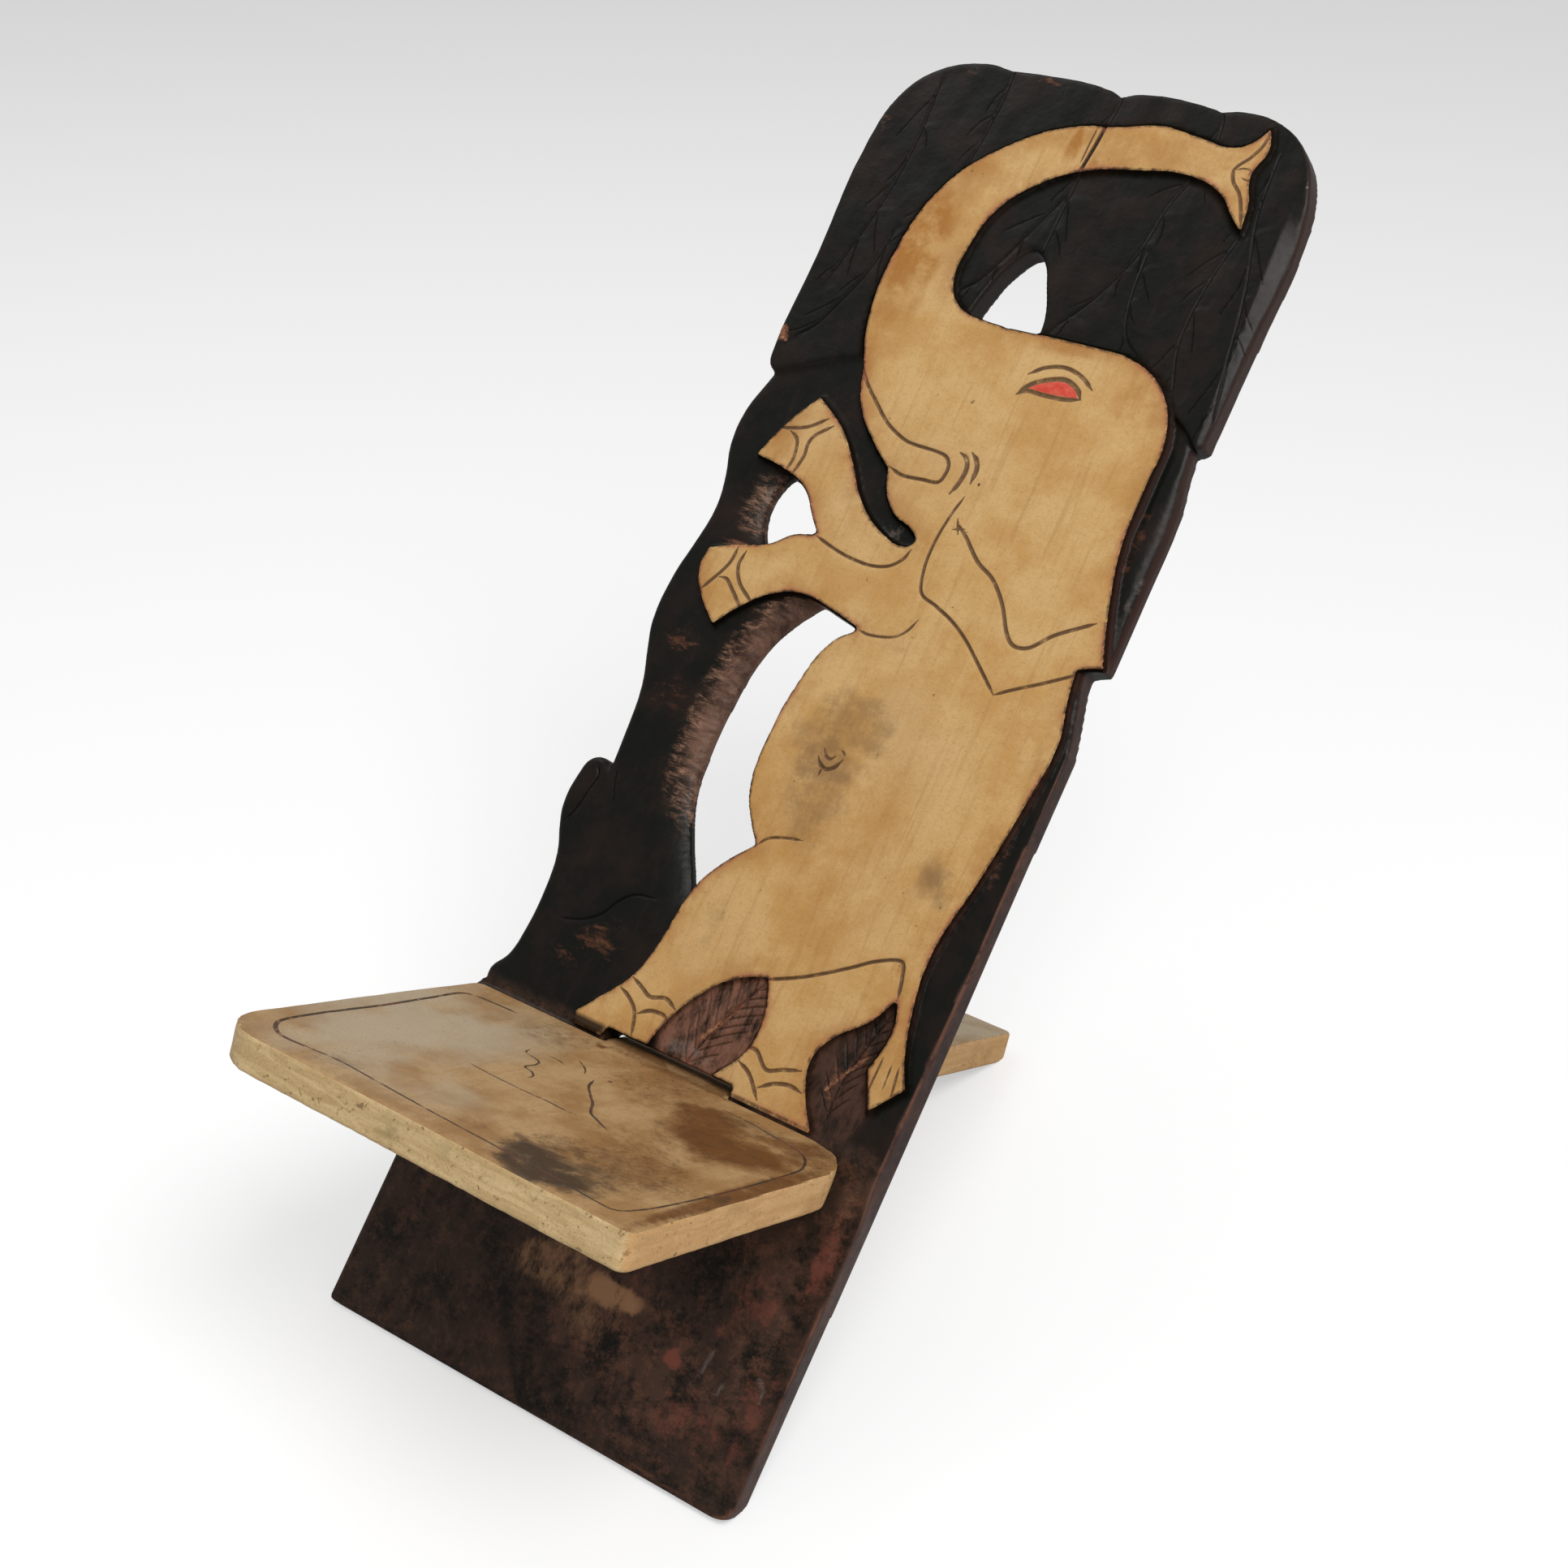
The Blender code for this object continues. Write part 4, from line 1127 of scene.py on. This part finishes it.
def worn_wood():
    """The seat: pale planed wood, grey where it was rubbed and paler on the tail top as painted light, brown
    where it was held and in a band along the back edge as painted shade, with dark smudges.
    """
    s = Shader("Worn pale wood")
    sides = raw_sides(s)
    grain = s.noise(1.0, 6.0, 0.62, s.stretched(110.0, 10.0, 160.0), 0.8)
    s.base = s.mix(s.patches(0.38, 0.62, 18.0, 6.0, 0.65), colour(182, 149, 105), colour(156, 118, 73))
    s.tint(s.step(grain, 0.48, 0.7), 0.36, colour(140, 104, 64))
    s.tint(s.patches(0.5, 0.7, 240.0, 5.0, 0.75), 0.25, colour(120, 88, 54))
    # Grey where the seat was rubbed, and painted light on the tail top.
    grey = s.times(s.field("grey"), s.patches(0.28, 0.52, 12.0, 4.0))
    s.tint(grey, 0.85, colour(182, 166, 140))
    # Brown where the seat was held, and painted shade in a band along the back edge.
    brown = s.field("brown")
    held_and_back_shade = s.ragged(brown, s.noise(44.0, 12.0, 0.82), 0.3, 0.36, 0.66)
    s.tint(held_and_back_shade, 0.95, colour(104, 64, 26))
    smudge = s.field("smudge")
    dark = s.ragged(smudge, s.noise(70.0, 12.0, 0.84), 0.32, 0.38, 0.64)
    s.tint(dark, 0.95, colour(56, 42, 30))
    marked = s.step(s.either(brown, smudge), 0.05, 0.7)
    s.tint(s.times(marked, s.patches(0.5, 0.57, 120.0, 8.0, 0.86)), 0.45, colour(72, 48, 28))
    s.cover(s.fall(s.absolute(s.axis(s.normal, "Z")), 0.5, 0.85), sides)
    specks = s.times(s.patches(0.69, 0.75, 260.0, 1.0), s.patches(0.4, 0.6, 14.0, 1.0))
    s.tint(specks, 0.6, colour(84, 58, 38))
    edge = s.times(s.step(s.field("edge"), 0.05, 0.2), s.patches(0.42, 0.6, 90.0, 5.0, 0.7))
    s.tint(edge, 0.55, colour(128, 98, 62))
    s.tint(s.patches(0.5, 0.66, 800.0, 3.0), 0.22, colour(112, 82, 50))
    cut = s.times(s.step(s.field("line"), 0.08, 0.42), s.patches(0.22, 0.5, 120.0, 3.0, 0.7))
    s.tint(cut, 0.9, s.mix(s.patches(0.5, 0.62, 24.0, 2.0), colour(50, 40, 32), colour(86, 46, 34)))
    s.set("Base Color", s.base)
    s.set("Roughness", s.line(s.noise(90.0, 4.0, 0.65), ROUGHNESS_CHANGE, SEAT_ROUGHNESS))
    s.set("Specular IOR Level", SEAT_SPECULAR)
    marks = s.bump(s.noise(120.0, 4.0), SEAT_MARKS)
    pores = s.noise(1.0, 4.0, 0.7, s.stretched(600.0, 70.0, 400.0))
    s.set("Normal", s.bump(pores, SEAT_PORES, marks))
    return s


def raw_sides(s):
    """The seat's sawn sides: layered pale wood with green and dark patches, warmer to the left and right."""
    layer = s.noise(1.0, 6.0, 0.65, s.stretched(26.0, 26.0, 190.0), 0.8)
    s.base = s.mix(s.step(layer, 0.36, 0.68), colour(201, 169, 118), colour(226, 196, 145))
    s.tint(s.patches(0.55, 0.7, 26.0, 5.0), 0.6, colour(138, 124, 86))
    s.tint(s.patches(0.6, 0.68, 190.0, 4.0, 0.7), 0.7, colour(100, 74, 46))
    turned = s.step(s.absolute(s.axis(s.normal, "X")), 0.5, 0.8)
    s.tint(turned, 0.45, colour(212, 147, 83))
    return s.base


# Stage.

FLOOR_REACH = 16.0
FLOOR_COLOUR = grey_level(0.6)
FLOOR_ROUGHNESS = 0.9
FLOOR_GLOW = 0.53
FAR_GLOW = -0.225
NEAR_FLOOR = -2.5
FAR_FLOOR = 6.5
VIEW_LINE = (-0.597, 0.802)
WHITE = grey_level(1.0)
ROOM_LIGHT = 0.44
BACKGROUND = grey_level(0.8)
SENSOR_WIDTH = 36.0
LAMP_TARGET = (0.0, 0.0, 0.3)
LAMP_SIZE = 1.8


def make_floor():
    signs = ((-1, -1), (1, -1), (1, 1), (-1, 1))
    corners = [(x * FLOOR_REACH, y * FLOOR_REACH, 0) for x, y in signs]
    mesh = bpy.data.meshes.new("Floor")
    mesh.from_pydata(corners, [], [(0, 1, 2, 3)])
    floor = link(bpy.data.objects.new("Floor", mesh))
    s = Shader("Pale floor")
    s.set("Base Color", FLOOR_COLOUR)
    s.set("Roughness", FLOOR_ROUGHNESS)
    s.set("Specular IOR Level", 0.0)
    seen = s.node("LightPath").outputs["Is Camera Ray"]
    s.set("Emission Color", WHITE)
    across = s.times(s.axis(s.place, "X"), VIEW_LINE[0])
    along = s.times(s.axis(s.place, "Y"), VIEW_LINE[1])
    distance = s.step(s.math("ADD", across, along), NEAR_FLOOR, FAR_FLOOR)
    glow = s.line(distance, FAR_GLOW, FLOOR_GLOW)
    s.set("Emission Strength", s.times(seen, glow))
    s.give_to(floor)


def make_lamp(name, place, power):
    lamp = bpy.data.lights.new(name, "AREA")
    lamp.shape = "DISK"
    lamp.size = LAMP_SIZE
    lamp.energy = power
    obj = link(bpy.data.objects.new(name, lamp))
    obj.location = place
    obj.rotation_euler = (Vector(LAMP_TARGET) - Vector(place)).to_track_quat("-Z", "Y").to_euler()


def make_world():
    world = bpy.data.worlds.new("Soft room")
    bpy.context.scene.world = world
    world.use_nodes = True
    nodes = world.node_tree.nodes
    links = world.node_tree.links
    light = nodes["Background"]
    light.inputs["Color"].default_value = WHITE
    light.inputs["Strength"].default_value = ROOM_LIGHT
    pale = nodes.new("ShaderNodeBackground")
    pale.inputs["Color"].default_value = BACKGROUND
    pale.inputs["Strength"].default_value = 1.0
    path = nodes.new("ShaderNodeLightPath")
    mix = nodes.new("ShaderNodeMixShader")
    links.new(path.outputs["Is Camera Ray"], mix.inputs["Fac"])
    links.new(light.outputs[0], mix.inputs[1])
    links.new(pale.outputs[0], mix.inputs[2])
    links.new(mix.outputs[0], nodes["World Output"].inputs["Surface"])


def make_camera():
    data = bpy.data.cameras.new("Camera")
    data.lens = CAMERA_LENS
    data.sensor_width = SENSOR_WIDTH
    data.shift_x, data.shift_y = CAMERA_SHIFT
    camera = link(bpy.data.objects.new("Camera", data))
    camera.location = CAMERA_PLACE
    camera.rotation_euler = Euler([math.radians(a) for a in CAMERA_TURN])
    bpy.context.scene.camera = camera


make_camera()
make_world()
make_floor()
make_lamp("Key", (1.5, -0.7, 2.8), 54.0)
make_lamp("Fill", (-1.6, 0.4, 2.6), 12.0)
carved_wood().give_to(make_back_board())
worn_wood().give_to(make_seat_board())
bpy.context.scene.view_settings.view_transform = "Standard"

bpy.context.view_layer.update()
